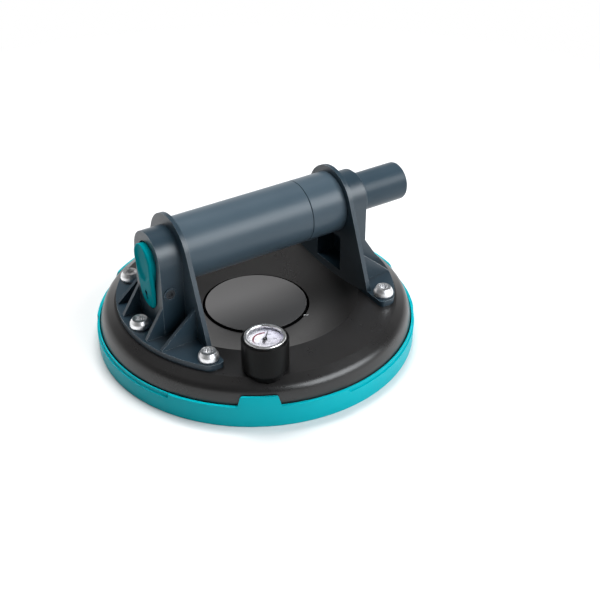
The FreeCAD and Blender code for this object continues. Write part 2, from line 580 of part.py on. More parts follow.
def check_retainer():
    back, front = VALVE_FACE - 1.6, VALVE_FACE - 0.1
    outer = POPPET_BORE_R - 0.05
    ring = along_x([(1.4, back), (outer, back), (outer, front), (1.4, front)])
    for k in range(RETAINER_HOLES):
        arm = polar(3.1, 360 * k / RETAINER_HOLES)
        ring = ring.cut(cyl(0.9, 4, on_axis(back - 1) + Vec(0, arm.x, arm.y), X_AXIS))
    return ring


def tube_fitting():
    at = Vec(TUBE_X, 0, 0)
    body = hexagon(9.0, 3.6, at + Z_AXIS * FOOT_TOP)
    body = body.fuse([cyl(FITTING_R, FOOT_TOP - FITTING_LOW, at + Z_AXIS * FITTING_LOW),
                      cyl(TUBE_BORE_R - 0.08, BARB_H, at + Z_AXIS * (FOOT_TOP + 3.6))])
    return body.removeSplitter().cut(cyl(0.8, HANDLE_Z, at))


def vacuum_tube():
    low = FOOT_TOP + 4.0
    return tube(TUBE_R, TUBE_BORE_R, HANDLE_Z - SPIGOT_R + 3.0 - low, Vec(TUBE_X, 0, low))


def release_lever():
    """Thumb lever: egg-shaped from the front, swelling towards its top, with a thumb dish."""
    depth = LEVER_CROWN + 1.8
    lever = lever_outline(0.0, LEVER_BACK - depth, depth)
    low_z, top_z = LEVER_LOW_Z - LEVER_LOW_R - 1, LEVER_TOP_Z + LEVER_TOP_R + 1
    inner, crown_z, waist_z = LEVER_BACK + 2, LEVER_TOP_Z + 6.5, LEVER_TOP_Z - 11.8
    side = [(LEVER_BACK - LEVER_TOE, low_z),
            (LEVER_BACK - LEVER_WAIST, waist_z, LEVER_BACK - LEVER_CROWN, crown_z),
            (LEVER_BACK - LEVER_CROWN + 0.8, top_z), (inner, top_z), (inner, low_z)]
    lever = lever.common(face_of(side, lambda x, z: Vec(x, -20, z)).extrude(Vec(0, 40, 0)))
    lever = lever.common(pivot(LEVER_SWEEP_R, -20, 20))
    dish_x = LEVER_BACK - LEVER_CROWN + 1.0 - THUMB_R + THUMB_DEPTH
    lever = lever.cut(Part.makeSphere(THUMB_R, Vec(dish_x, 0, LEVER_TOP_Z - 1.4)))
    hole_z = LEVER_LOW_Z + 2.4
    keyhole = cyl(1.3, 6, Vec(LEVER_BACK - 6.5, 0, hole_z), X_AXIS)
    keyhole = keyhole.fuse(box(LEVER_BACK - 6.5, LEVER_BACK - 0.5, -0.6, 0.6, hole_z - 3.8, hole_z))
    lug = pivot(LUG_R, -LUG_HALF, LUG_HALF)
    lever = lever.cut(keyhole).fuse(lug).removeSplitter()
    return lever.cut(pivot(PIN_R + 0.06, -LEVER_TOP_R, LEVER_TOP_R))


def lever_pin():
    face = -COLUMN_HALF - BOSS_PROUD
    body = pivot(PIN_HEAD_R, face, face + PIN_HEAD_H).fuse(pivot(PIN_R, face + 1, COLUMN_HALF - 1.6))
    return body.removeSplitter().cut(hexagon(3.0, 1.8, Vec(PIVOT_X, face, PIVOT_Z), Y_AXIS))


def release_stem():
    collar_back = STEM_COLLAR + 0.8
    return along_x([(0, STEM_END), (1.4, STEM_END), (STEM_R, STEM_END + 0.5), (STEM_R, STEM_COLLAR),
                    (STEM_COLLAR_R, STEM_COLLAR), (STEM_COLLAR_R, collar_back),
                    (STEM_R, collar_back), (STEM_R, STEM_NECK),
                    (STEM_NECK_R, STEM_NECK), (STEM_NECK_R, STEM_INNER), (0, STEM_INNER)])


def build_handle():
    keep("pump_barrel", tube(BARREL_R, BORE_R, 2 * PLATE_IN, on_axis(-PLATE_IN), X_AXIS))
    keep("grip_sleeve", sleeve(-PLATE_IN, SEAM_X - SEAM_GAP / 2, END_EDGE, SEAM_EDGE))
    keep("grip_collar", sleeve(SEAM_X + SEAM_GAP / 2, PLATE_IN, SEAM_EDGE, END_EDGE))
    keep("guide_bushing", guide_bushing())
    keep("plunger", plunger())
    keep("piston", piston())
    keep("piston_seal", piston_seal())
    spring_from, spring_to = VALVE_FACE + 1.1, PISTON_FRONT - PISTON_LEN - 1.1
    keep("return_spring", coil(9.5, 1.0, spring_to - spring_from, 9, on_axis(spring_from)))
    keep("valve_block", valve_block())
    keep("barrel_seals", barrel_seals())
    keep("check_poppet", check_poppet())
    keep("check_retainer", check_retainer())
    keep("check_spring", coil(2.2, 0.25, 6.2, 5, on_axis(POPPET_X + 1.75)))
    keep("vacuum_tube", vacuum_tube())
    keep("tube_fitting", tube_fitting())
    keep("release_lever", release_lever())
    keep("lever_pin", lever_pin())
    keep("release_stem", release_stem())
    seal_r, seal_wire_r = (SEAL_SEAT_R + STEM_R) / 2, (SEAL_SEAT_R - STEM_R) / 2 - 0.1
    keep("release_seal", along_x(round_section(seal_r, seal_wire_r, SPIGOT_END + SEAL_SEAT / 2)))
    keep("release_spring", coil(2.9, 0.3, 2.1, 3, on_axis(STEM_COLLAR + 1.15)))


# ---------------------------------------------------------------- vacuum gauge
def on_gauge(profile):
    """Part turned on the gauge's axis; heights are measured from the top of its housing."""
    return turned(profile, Vec(GAUGE_X, GAUGE_Y, GAUGE_TOP))


def gauge_housing():
    low, chamfer = FOOT_LOW - GAUGE_TOP, 0.8
    body = on_gauge([(0, low), (GAUGE_R, low), (GAUGE_R, -chamfer), (GAUGE_R - chamfer, 0),
                     (GAUGE_BORE_R, 0), (GAUGE_BORE_R, BORE_FLOOR), (0, BORE_FLOOR)])
    stem_hole = cyl(GAUGE_STEM_R + 0.1, CREST_Z, Vec(GAUGE_X, GAUGE_Y, GAUGE_SHOULDER))
    return body.cut(disc_envelope()).cut(stem_hole)


def gauge_stem():
    low, shoulder, top = GAUGE_STEM_LOW - GAUGE_TOP, GAUGE_SHOULDER - GAUGE_TOP, BORE_FLOOR - 0.1
    bore_r, tail_r = 1.0, 2.6
    return on_gauge([(bore_r, low), (tail_r, low), (tail_r, shoulder), (GAUGE_STEM_R, shoulder),
                     (GAUGE_STEM_R, top), (bore_r, top)])


def gauge_case():
    case_r, low = GAUGE_BORE_R - 0.1, BORE_FLOOR + 0.1
    shell = on_gauge([(0, low), (case_r, low), (case_r, CASE_RIM), (case_r - 1, CASE_RIM),
                      (case_r - 1, CASE_FLOOR), (0, CASE_FLOOR)])
    return shell.cut(cyl(1.0, 4, Vec(GAUGE_X, GAUGE_Y, GAUGE_TOP + BORE_FLOOR - 0.7)))


def bourdon_tube():
    """Bent tube that straightens with the vacuum and turns the pointer."""
    centre = Vec(GAUGE_X, GAUGE_Y, GAUGE_TOP + BOURDON_Z)
    return spun(turned(round_section(BOURDON_R, BOURDON_WIRE_R), centre, BOURDON_SWEEP), 110, centre)


def gauge_needle():
    """Flat pointer with a counterweight, on a small hub."""
    thick = 0.35
    centre = Vec(GAUGE_X, GAUGE_Y, GAUGE_TOP + NEEDLE_LOW)
    outline = [Vec(-TAIL_R, -0.55, 0), Vec(-TAIL_R, 0.55, 0), Vec(TIP_R, 0.18, 0), Vec(TIP_R, -0.18, 0)]
    blade = prism([centre + p for p in outline], Z_AXIS * thick)
    blade = blade.fuse([cyl(HUB_R, thick, centre), cyl(WEIGHT_R, thick, centre - X_AXIS * (TAIL_R - 0.2))])
    blade = blade.removeSplitter().cut(cyl(SPINDLE_R + 0.02, 2, centre - Z_AXIS))
    return spun(blade, NEEDLE_ANGLE, centre)


def build_gauge():
    ring_r = GAUGE_BORE_R - 0.1
    keep("gauge_housing", gauge_housing())
    keep("gauge_stem", gauge_stem())
    keep("gauge_seal", turned(round_section(GAUGE_STEM_R - 0.9, SEAL_WIRE_R),
                              Vec(GAUGE_X, GAUGE_Y, GAUGE_SHOULDER - 0.5)))
    keep("gauge_case", gauge_case())
    keep("bourdon_tube", bourdon_tube())
    spindle_low = CASE_FLOOR + 1.1
    keep("needle_spindle", cyl(SPINDLE_R, NEEDLE_LOW + 0.4 - spindle_low,
                               Vec(GAUGE_X, GAUGE_Y, GAUGE_TOP + spindle_low)))
    hole_r = SPINDLE_R + 0.5
    keep("gauge_dial", on_gauge([(hole_r, DIAL_LOW), (ring_r, DIAL_LOW), (ring_r, DIAL_TOP),
                                 (hole_r, DIAL_TOP)]))
    keep("gauge_needle", gauge_needle())
    keep("gauge_lens", on_gauge([(0, -LENS_EDGE), (ring_r - 1.1, -LENS_EDGE), (ring_r - 1.1, 0.1),
                                 (ring_r - 1.9, 0.4), (0, LENS_CROWN)]))
    keep("gauge_bezel", on_gauge([(ring_r - 1.0, -2.0), (ring_r, -2.0), (ring_r, 0.5),
                                  (ring_r - 0.5, 1.0), (ring_r - 1.5, 1.0), (ring_r - 1.8, 0.6),
                                  (ring_r - 1.0, 0.2)]))


build_suction_head()
build_brackets()
build_handle()
build_gauge()
for name, shape in SHAPES.items():
    if not shape.isValid():
        print("invalid shape:", name)
    shape.exportStep("parts/" + name + ".step")
    print(name, len(shape.Solids), "solid(s)", round(shape.Volume), "mm3")
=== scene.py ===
# %% [markdown]
# # Dressing a floor tile suction lifter
# The lifter's parts come from a finished mechanical model: a black suction disc, two grey brackets,
# a grip with a hand pump inside it, a small vacuum gauge and a teal cover. This lesson gives those
# parts their looks. The mechanical model is loaded first and never moved, so that every new piece
# is made round it, in metres, with the origin in the middle of the cover's underside.

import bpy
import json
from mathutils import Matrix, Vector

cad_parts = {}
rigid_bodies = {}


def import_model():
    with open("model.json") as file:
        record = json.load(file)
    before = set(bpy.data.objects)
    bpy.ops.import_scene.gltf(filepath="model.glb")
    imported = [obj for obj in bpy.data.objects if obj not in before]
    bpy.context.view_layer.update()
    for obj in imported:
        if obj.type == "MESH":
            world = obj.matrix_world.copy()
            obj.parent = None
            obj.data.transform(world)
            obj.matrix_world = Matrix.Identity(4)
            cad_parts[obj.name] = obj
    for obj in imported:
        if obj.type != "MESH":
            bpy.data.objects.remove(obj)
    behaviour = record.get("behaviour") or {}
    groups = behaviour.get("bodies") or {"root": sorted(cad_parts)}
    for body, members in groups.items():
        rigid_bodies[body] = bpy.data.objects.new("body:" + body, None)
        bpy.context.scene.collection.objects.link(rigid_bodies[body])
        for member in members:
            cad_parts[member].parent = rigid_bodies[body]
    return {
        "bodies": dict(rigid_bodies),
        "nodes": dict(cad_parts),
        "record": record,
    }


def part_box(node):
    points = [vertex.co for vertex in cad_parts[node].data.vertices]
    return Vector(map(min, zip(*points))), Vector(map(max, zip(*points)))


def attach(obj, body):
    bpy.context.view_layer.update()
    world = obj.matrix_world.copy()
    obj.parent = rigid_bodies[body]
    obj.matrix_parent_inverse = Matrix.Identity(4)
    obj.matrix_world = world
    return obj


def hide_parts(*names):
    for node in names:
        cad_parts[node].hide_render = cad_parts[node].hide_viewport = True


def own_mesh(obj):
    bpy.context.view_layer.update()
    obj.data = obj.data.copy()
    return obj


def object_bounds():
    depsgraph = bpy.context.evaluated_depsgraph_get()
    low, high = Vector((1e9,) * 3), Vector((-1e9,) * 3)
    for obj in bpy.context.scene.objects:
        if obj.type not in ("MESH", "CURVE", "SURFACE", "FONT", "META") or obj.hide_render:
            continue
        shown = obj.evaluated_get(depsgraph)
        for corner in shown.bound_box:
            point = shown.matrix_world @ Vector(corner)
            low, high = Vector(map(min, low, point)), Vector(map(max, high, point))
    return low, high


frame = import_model()
cad_low, cad_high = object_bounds()

# %% Blender's own modules
import json
import math

import bmesh
import bpy
from mathutils import Vector

scene = bpy.context.scene
MM = 0.001
size_mm = (cad_high - cad_low) / MM
print("overall size in mm:", [round(side, 1) for side in size_mm])

# %% [markdown]
# ## Places
# Most round pieces turn about one of three axes: the handle's runs along the pump's barrel, the
# lifter's own goes up through the origin, and the gauge's up through its housing. The first and
# the last are read from the mechanical model's boxes, so that neither has to be fitted by eye.

# %% Read the main places
def span(node):
    """Lowest corner, highest corner and middle of a mechanical part, in millimetres."""
    low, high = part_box(node)
    return low / MM, high / MM, (low + high) / 2 / MM


HANDLE_Z = span("pump_barrel")[2].z
gauge_low, gauge_high, gauge_mid = span("gauge_housing")
GAUGE_AT = Vector((gauge_mid.x, gauge_mid.y, gauge_high.z))
print("handle axis at z", round(HANDLE_Z, 1), "- gauge top at", [round(c, 1) for c in GAUGE_AT])

# %% [markdown]
# ## Camera
# The camera stands in front of the gauge and to its left, at about a third of the way up from the
# floor to overhead, and far enough off that the handle's two ends look nearly the same size. A
# place on a circle round the object and a lens are easier to think about than three angles.

# %% Put things in the scene
def add_object(name, data):
    """A new object with its data, linked into the scene."""
    obj = bpy.data.objects.new(name, data)
    scene.collection.objects.link(obj)
    return obj


def look_along(obj, direction):
    """Turn a camera or a lamp so that it looks in a direction."""
    obj.rotation_mode = "QUATERNION"
    obj.rotation_quaternion = direction.to_track_quat("-Z", "Y")


# %% Place the camera
CAMERA_TURN, CAMERA_RISE = math.radians(-32.98), math.radians(33.44)
CAMERA_FORWARD = Vector((
    -math.sin(CAMERA_TURN) * math.cos(CAMERA_RISE),
    math.cos(CAMERA_TURN) * math.cos(CAMERA_RISE),
    -math.sin(CAMERA_RISE)))
CAMERA_PLACE = Vector((-321.96, -551.31, 443.58)) * MM
SENSOR, LENS = 36.0, 67.29

camera_data = bpy.data.cameras.new("studio_camera")
camera_data.sensor_width = SENSOR
camera_data.lens = LENS
camera_data.clip_start, camera_data.clip_end = 0.01, 20.0
camera = add_object("studio_camera", camera_data)
camera.location = CAMERA_PLACE
look_along(camera, CAMERA_FORWARD)
scene.camera = camera
scene.view_settings.view_transform = "Standard"
print("camera is", round(CAMERA_PLACE.length, 3), "m from the origin")

# %% [markdown]
# ## Shader maths
# A material is a tree of nodes, and a sum or a product in it is a Math node. Written as nodes, a
# short formula fills a page, so a small class wraps a node's output and lets Python's own + - * /
# add the Math nodes. The material's own class adds every other kind of node through one method.

# %% A socket that can be calculated with
class Signal:
    """One output of a node. Arithmetic on it adds Math nodes to the same tree."""

    def __init__(self, finish, socket):
        self.finish, self.socket = finish, socket

    def math(self, operation, first, second):
        return self.finish.node("ShaderNodeMath", {"operation": operation}, {0: first, 1: second})

    def __add__(self, other):
        return self.math("ADD", self, other)

    def __radd__(self, other):
        return self.math("ADD", other, self)

    def __sub__(self, other):
        return self.math("SUBTRACT", self, other)

    def __rsub__(self, other):
        return self.math("SUBTRACT", other, self)

    def __mul__(self, other):
        return self.math("MULTIPLY", self, other)

    def __rmul__(self, other):
        return self.math("MULTIPLY", other, self)

    def __truediv__(self, other):
        return self.math("DIVIDE", self, other)

    def __rtruediv__(self, other):
        return self.math("DIVIDE", other, self)

    def __pow__(self, other):
        return self.math("POWER", self, other)

    def __rpow__(self, other):
        return self.math("POWER", other, self)

    def clamp(self):
        """The same, held between 0 and 1."""
        return self.math("MINIMUM", self.math("MAXIMUM", self, 0.0), 1.0)


print("a signal can stand on either side of + - * / and **")

# %% A node tree with one way to add a node
class Tree:
    """The node tree of a material, or of the world."""

    def __init__(self, owner):
        owner.use_nodes = True
        self.owner, self.tree = owner, owner.node_tree
        self.tree.nodes.clear()

    def plug(self, socket, value):
        if isinstance(value, Signal):
            self.tree.links.new(value.socket, socket)
        else:
            socket.default_value = value

    def node(self, kind, settings=None, sockets=None, output=0):
        """Add a node: its settings first, then the values or links of its sockets."""
        made = self.tree.nodes.new(kind)
        for name, value in (settings or {}).items():
            if name == "stops":
                self.fill_ramp(made.color_ramp, value)
            else:
                setattr(made, name, value)
        for name, value in (sockets or {}).items():
            self.plug(made.inputs[name], value)
        return Signal(self, made.outputs[output]) if made.outputs else made

    @staticmethod
    def fill_ramp(ramp, stops):
        while len(ramp.elements) < len(stops):
            ramp.elements.new(1.0)
        for element, (place, colour) in zip(ramp.elements, stops):
            element.position, element.color = place, colour


print("any kind of node is added by", Tree.node.__qualname__)

# %% The nodes that a finish needs most
class Finish(Tree):
    """A material, or the world, in which the usual nodes take one call each."""

    def ramp(self, value, stops):
        """A value looked up on a scale of greys: (place, brightness) stops."""
        greys = [(place, (grey, grey, grey, 1.0)) for place, grey in stops]
        return self.node("ShaderNodeValToRGB", {"stops": greys}, {"Fac": value})

    def mix(self, below, above, factor):
        """One colour over another."""
        return self.node("ShaderNodeMix", {"data_type": "RGBA"},
                         {0: factor, 6: below, 7: above}, output=2)

    def place(self):
        return self.node("ShaderNodeTexCoord", output="Object")

    def noise(self, scale, detail=2.0):
        """Cloudy values round a half. scale is in features per metre."""
        return self.node("ShaderNodeTexNoise", None, {
            "Vector": self.place(), "Scale": scale, "Detail": detail})

    def bump(self, height, distance, strength=1.0):
        """A bumpy normal, with the height of a full bump in metres."""
        return self.node("ShaderNodeBump", None, {
            "Height": height, "Distance": distance, "Strength": strength})

    def blend(self, factor, first, second):
        """The first shader where factor is 0, and the second where it is 1."""
        return self.node("ShaderNodeMixShader", None, {0: factor, 1: first, 2: second})

    def close(self, shader):
        """Send a shader to the material's surface, and hand the material back."""
        self.node("ShaderNodeOutputMaterial", None, {"Surface": shader})
        return self.owner


print("shortcuts of a finish:", [name for name in vars(Finish) if not name.startswith("_")])

# %% Screen colours
def tint(red, green, blue):
    """A screen colour, 0 to 255, as the linear colour that shaders work in."""
    def linear(level):
        share = level / 255
        return share / 12.92 if share <= 0.04045 else ((share + 0.055) / 1.055) ** 2.4
    return (linear(red), linear(green), linear(blue), 1.0)


print("the middle grey of a screen gives back", round(tint(128, 128, 128)[0], 3), "of the light")

# %% [markdown]
# ## Moulded plastic
# Most of this lifter is injection moulded. Such a surface is one colour with a little variation
# in it, a satin gloss that isn't quite even, and on some pieces a very fine grain from the mould.
# A picture wrapped round the part would need a layout and blur up close, so noise does it: a broad
# cloud and a fine speck shift the colour and the gloss, and the finest noise is the grain.

# %% What every opaque finish has
def new_finish(name):
    return Finish(bpy.data.materials.new(name))


def surface(finish, sockets):
    """The main shader of a material, with the values or links of its sockets."""
    return finish.close(finish.node("ShaderNodeBsdfPrincipled", None, sockets))


def painted_edge_highlight(finish, amount):
    """A painted highlight: 0 on flat faces and up to amount along outer edges."""
    sharpness = finish.node("ShaderNodeNewGeometry", output="Pointiness")
    return finish.ramp(sharpness, [(0.505, 0.0), (0.53, 1.0)]) * amount


print("materials so far:", len(bpy.data.materials))

# %% Moulded plastic
CLOUDS, SPECKS, GRAINS = 35.0, 420.0, 2600.0     # features per metre


def moulded(name, colour, pale, gloss, grain=0.00002, grain_scale=GRAINS, edge=0.0, shine=0.5,
            bend=1.45):
    """Satin plastic: its screen colour and a paler one, roughness, the grain's height and its
    features per metre, a painted highlight along outer edges, how much of the room it mirrors
    head on, and its refractive index, which sets how much more it mirrors at a slant."""
    finish = new_finish(name)
    colour, pale = tint(*colour), tint(*pale)
    cloud = finish.ramp(finish.noise(CLOUDS, 4.0), [(0.35, 0.0), (0.65, 1.0)])
    speck = finish.noise(SPECKS, 3.0)
    base = finish.mix(colour, pale, cloud * 0.35 + (speck - 0.5) * 0.2)
    # Painted highlight along outer edges.
    if edge:
        base = finish.mix(base, pale, painted_edge_highlight(finish, edge))
    roughness = gloss + (cloud - 0.5) * 0.04 + (speck - 0.5) * 0.08
    sockets = {"Base Color": base, "Roughness": roughness, "Specular IOR Level": shine, "IOR": bend}
    if grain:
        sockets["Normal"] = finish.bump(finish.noise(grain_scale), grain, 0.6)
    return surface(finish, sockets)


print("a cloud is about", round(1 / CLOUDS / MM), "mm across, and a speck", round(1 / SPECKS / MM, 1))

# %% The plastics of this lifter
disc_black = moulded("disc_black", (30, 29, 29), (37, 36, 36), 0.3, grain=0.0, shine=0.65)
# Paler than the disc: painted light that makes up for the handle's shadow on the cap's top.
cap_painted_light = moulded("cap_painted_light", (88, 87, 87), (90, 89, 89), 0.6, grain=0.0, bend=1.1)
# Near black: painted shade for the groove round the cap and for the cap's sides.
groove_painted_shade = moulded("groove_painted_shade", (6, 6, 6), (10, 10, 10), 0.7, shine=0.0)
bracket_grey = moulded("bracket_grey", (32, 49, 60), (36, 54, 65), 0.38, shine=1.0, bend=1.38)
# Paler rounded edges of the brackets, with a painted highlight along the outer ones.
bracket_edge_highlight = moulded("bracket_edge_highlight", (52, 68, 79), (170, 184, 192), 0.34, edge=1.0)
pump_grey = moulded("pump_grey", (48, 62, 72), (55, 70, 80), 0.34, bend=1.3)
gauge_black = moulded("gauge_black", (12, 12, 12), (18, 18, 18), 0.36, bend=1.2)
pin_brown = moulded("pin_brown", (54, 58, 62), (66, 64, 64), 0.4, shine=0.2)
cover_teal = moulded("cover_teal", (0, 170, 181), (4, 176, 187), 0.42, shine=0.16)
lever_teal = moulded("lever_teal", (0, 142, 152), (2, 150, 160), 0.2, grain=0.0, shine=0.2, bend=1.08)
keyhole_navy = moulded("keyhole_navy", (16, 34, 66), (24, 44, 80), 0.5)
print("plastics, from the disc's to the keyhole's:", disc_black.name, "to", keyhole_navy.name)

# %% [markdown]
# ## Rubber
# The grip's sleeve is a soft, close-grained rubber with a silky sheen, the pad underneath is a
# duller one, and the small seals are shiny with grease. Rubber differs from a hard plastic in its
# grain and its gloss, not in kind, so the same recipe makes all of them.

# %% Rubber
grip_rubber = moulded("grip_rubber", (62, 76, 86), (68, 83, 93), 0.34,
                      grain_scale=1800.0, shine=0.6, bend=1.36)
pad_rubber = moulded("pad_rubber", (22, 22, 23), (40, 40, 41), 0.62, grain=0.00005)
seal_rubber = moulded("seal_rubber", (18, 18, 19), (34, 34, 35), 0.3)
poppet_rubber = moulded("poppet_rubber", (120, 46, 36), (142, 62, 50), 0.5)
print("rubbers:", [m.name for m in (grip_rubber, pad_rubber, seal_rubber, poppet_rubber)])

# %% [markdown]
# ## Metal
# Polished steel has no colour of its own: what shows is the room in it, slightly blurred by fine
# turning marks. So the metals take a pale base colour, full Metallic, and a low roughness that a
# fine noise breaks up.

# %% Metal
STAINS, MARKS, MARK_DEPTH = 260.0, 900.0, 0.000004    # features per metre, and metres


def metal(name, colour, dull, gloss):
    """Bare metal: its screen colour and a duller one, and roughness."""
    finish = new_finish(name)
    cloud = finish.noise(STAINS, 3.0)
    base = finish.mix(tint(*colour), tint(*dull), finish.ramp(cloud, [(0.4, 0.0), (0.75, 0.5)]))
    roughness = gloss + (cloud - 0.5) * 0.1
    marks = finish.bump(finish.noise(MARKS, 1.0), MARK_DEPTH, 0.5)
    return surface(finish, {"Base Color": base, "Metallic": 1.0, "Roughness": roughness,
                            "Normal": marks})


screw_steel = metal("screw_steel", (244, 244, 245), (216, 215, 214), 0.4)
bezel_chrome = metal("bezel_chrome", (254, 254, 254), (240, 241, 243), 0.28)
plate_metal = metal("plate_metal", (176, 180, 184), (140, 144, 148), 0.36)
spring_steel = metal("spring_steel", (168, 170, 174), (120, 122, 126), 0.26)
brass = metal("brass", (206, 170, 96), (160, 122, 60), 0.26)
print("metals:", [m.name for m in (screw_steel, bezel_chrome, plate_metal, spring_steel, brass)])

# %% [markdown]
# ## Small finishes
# What is left is small: the gauge's white dial, its black pointer and its clear lens, the clear
# hose inside the bracket, the felt filter under the cap, and a small white tick. The lens could
# be refracting glass, but little light then reaches the dial. A see-through shader mixed with a
# mirror, which grows towards the edge as on real glass, looks the same and stays clear.

# %% Clear finishes
def clear(name, colour, least):
    """See-through, with a reflection that is least head on and grows to near full at the edge."""
    finish = new_finish(name)
    through = finish.node("ShaderNodeBsdfTransparent", None, {"Color": colour})
    shine = finish.node("ShaderNodeBsdfGlossy", None, {"Roughness": 0.03})
    edge_on = finish.node("ShaderNodeLayerWeight", None, {"Blend": 0.5}, output="Facing")
    return finish.close(finish.blend((edge_on ** 3 * 0.8 + least).clamp(), through, shine))


lens_clear = clear("lens_clear", (1.0, 1.0, 1.0, 1.0), 0.01)
clear_tube = clear("clear_tube", (0.82, 0.86, 0.86, 1.0), 0.12)
print("clear:", lens_clear.name, "and", clear_tube.name)

# %% The dial's card
def dial_face(width=24 * MM):
    """White card that takes a faint lavender towards one side."""
    finish = new_finish("dial_white")
    across = finish.node("ShaderNodeSeparateXYZ", None, {0: finish.place()}, output=0)
    share = ((across - GAUGE_AT.x * MM) / width + 0.5).clamp()
    base = finish.mix(tint(254, 254, 254), tint(222, 220, 238), share)
    paper = finish.bump(finish.noise(2400.0), 0.00001)
    return surface(finish, {"Base Color": base, "Roughness": 0.5, "Normal": paper})


dial_white = dial_face()
print("the card is halfway to lavender at x", round(GAUGE_AT.x, 1), "mm")

# %% Inks, felt and the white tick
pointer_black = moulded("pointer_black", (20, 20, 22), (40, 40, 44), 0.35)
print_grey = moulded("print_grey", (104, 104, 116), (120, 120, 130), 0.6)
print_red = moulded("print_red", (120, 40, 56), (140, 60, 76), 0.6)
filter_felt = moulded("filter_felt", (196, 190, 176), (214, 208, 196), 0.9, grain=0.0002)
mark_white = moulded("mark_white", (244, 244, 242), (250, 250, 248), 0.5)
print("materials in all:", len(bpy.data.materials))

# %% [markdown]
# ## Edges that catch the light
# A computer model has perfectly sharp edges, and a real moulding has none. The mechanical parts
# keep their own meshes, and modifiers do the rest: Weld joins their faces, a planar Decimate
# clears the triangles from flat ones, and Bevel rounds every edge, inner corners too, where a
# mould leaves a small fillet. Weighted normals keep the flat faces flat. The rounded edges can
# take a finish of their own, with a painted highlight along the outer ones.

# %% Round the edges of a mechanical part
SAME_POINT = 0.002 * MM       # points nearer than this are one point


def keep_flats(obj):
    """Shade big flat faces flat and let the narrow ones at their edges take the turn."""
    normals = obj.modifiers.new("keep_flats", "WEIGHTED_NORMAL")
    normals.keep_sharp = True


def soften(obj, width, edge_material=None):
    """Round the edges by a width in millimetres, in a finish of their own if one is given."""
    weld = obj.modifiers.new("join_faces", "WELD")
    weld.merge_threshold = SAME_POINT
    flat = obj.modifiers.new("clear_flats", "DECIMATE")
    flat.decimate_type = "DISSOLVE"
    flat.angle_limit = math.radians(0.8)
    bevel = obj.modifiers.new("round_edges", "BEVEL")
    bevel.width = width * MM
    bevel.segments = 3
    bevel.limit_method = "ANGLE"
    bevel.angle_limit = math.radians(24.0)
    bevel.miter_outer = "MITER_ARC"
    if edge_material:
        obj.data.materials.append(edge_material)
        bevel.material = len(obj.material_slots) - 1
    keep_flats(obj)
    obj.data.shade_smooth()


def paint(obj, material):
    """Give every material slot of a piece one finish."""
    if not obj.material_slots:
        obj.data.materials.append(material)
    for slot in obj.material_slots:
        slot.material = material


print("points nearer than", SAME_POINT / MM, "mm count as one")

# %% Which finish a mechanical part takes, and how far its edges are rounded
DRESSED = {
    bracket_grey: {"bracket_left": 0.32, "bracket_right": 0.32},
    pump_grey: {"piston": 0.3, "valve_block": 0.3, "pump_barrel": 0.3, "check_retainer": 0.1},
    seal_rubber: {"cap_seal": 0.0, "gauge_seal": 0.0, "barrel_seals": 0.0, "piston_seal": 0.0,
                  "release_seal": 0.0},
    poppet_rubber: {"check_poppet": 0.1},
    screw_steel: {"plate_nuts": 0.3, "needle_spindle": 0.0, "release_stem": 0.1},
    plate_metal: {"pad_plate": 0.2},
    spring_steel: {"return_spring": 0.0, "check_spring": 0.0, "release_spring": 0.0},
    brass: {"gauge_stem": 0.15, "bourdon_tube": 0.0, "tube_fitting": 0.15},
    gauge_black: {"gauge_case": 0.2},
    clear_tube: {"vacuum_tube": 0.0},
    filter_felt: {"air_filter": 0.5},
    mark_white: {"index_mark": 0.0},
}
for material, parts in DRESSED.items():
    for node, width in parts.items():
        part = frame["nodes"][node]
        paint(part, material)
        part.data.shade_smooth()
        if width:
            # The brackets' rounded edges take the painted edge highlight.
            soften(part, width, bracket_edge_highlight if material == bracket_grey else None)
print("dressed", sum(len(parts) for parts in DRESSED.values()), "of", len(frame["nodes"]), "parts")

# %% [markdown]
# ## A skin over rows of points
# The visible round parts are made again with finer curves. Nearly all of them are one idea: rows
# of points, each row joined to the next by a strip of faces. Turn one outline about an axis and the
# rows are its copies. Let the outline change with the angle and the same idea makes a cover with
# ledges and tabs, a screw with a star socket, or a thumb lever.

# %% Rows into a mesh
def as_object(name, mesh):
    """A finished bmesh as an object in the scene, with its faces turned outwards."""
    bmesh.ops.recalc_face_normals(mesh, faces=mesh.faces)
    data = bpy.data.meshes.new(name)
    mesh.to_mesh(data)
    mesh.free()
    return add_object(name, data)


def skin(name, rows, around=True, closed=True):
    """Mesh over rows of points in millimetres. around joins the last row to the first, and
    closed joins each row's last point to its first."""
    mesh = bmesh.new()
    grid = [[mesh.verts.new(Vector(point) * MM) for point in row] for row in rows]
    count = len(grid[0])
    for k in range(len(grid) if around else len(grid) - 1):
        here, after = grid[k], grid[(k + 1) % len(grid)]
        for j in range(count if closed else count - 1):
            mesh.faces.new((here[j], here[(j + 1) % count], after[(j + 1) % count], after[j]))
    bmesh.ops.remove_doubles(mesh, verts=mesh.verts, dist=SAME_POINT)
    obj = as_object(name, mesh)
    obj.data.shade_smooth()
    return obj


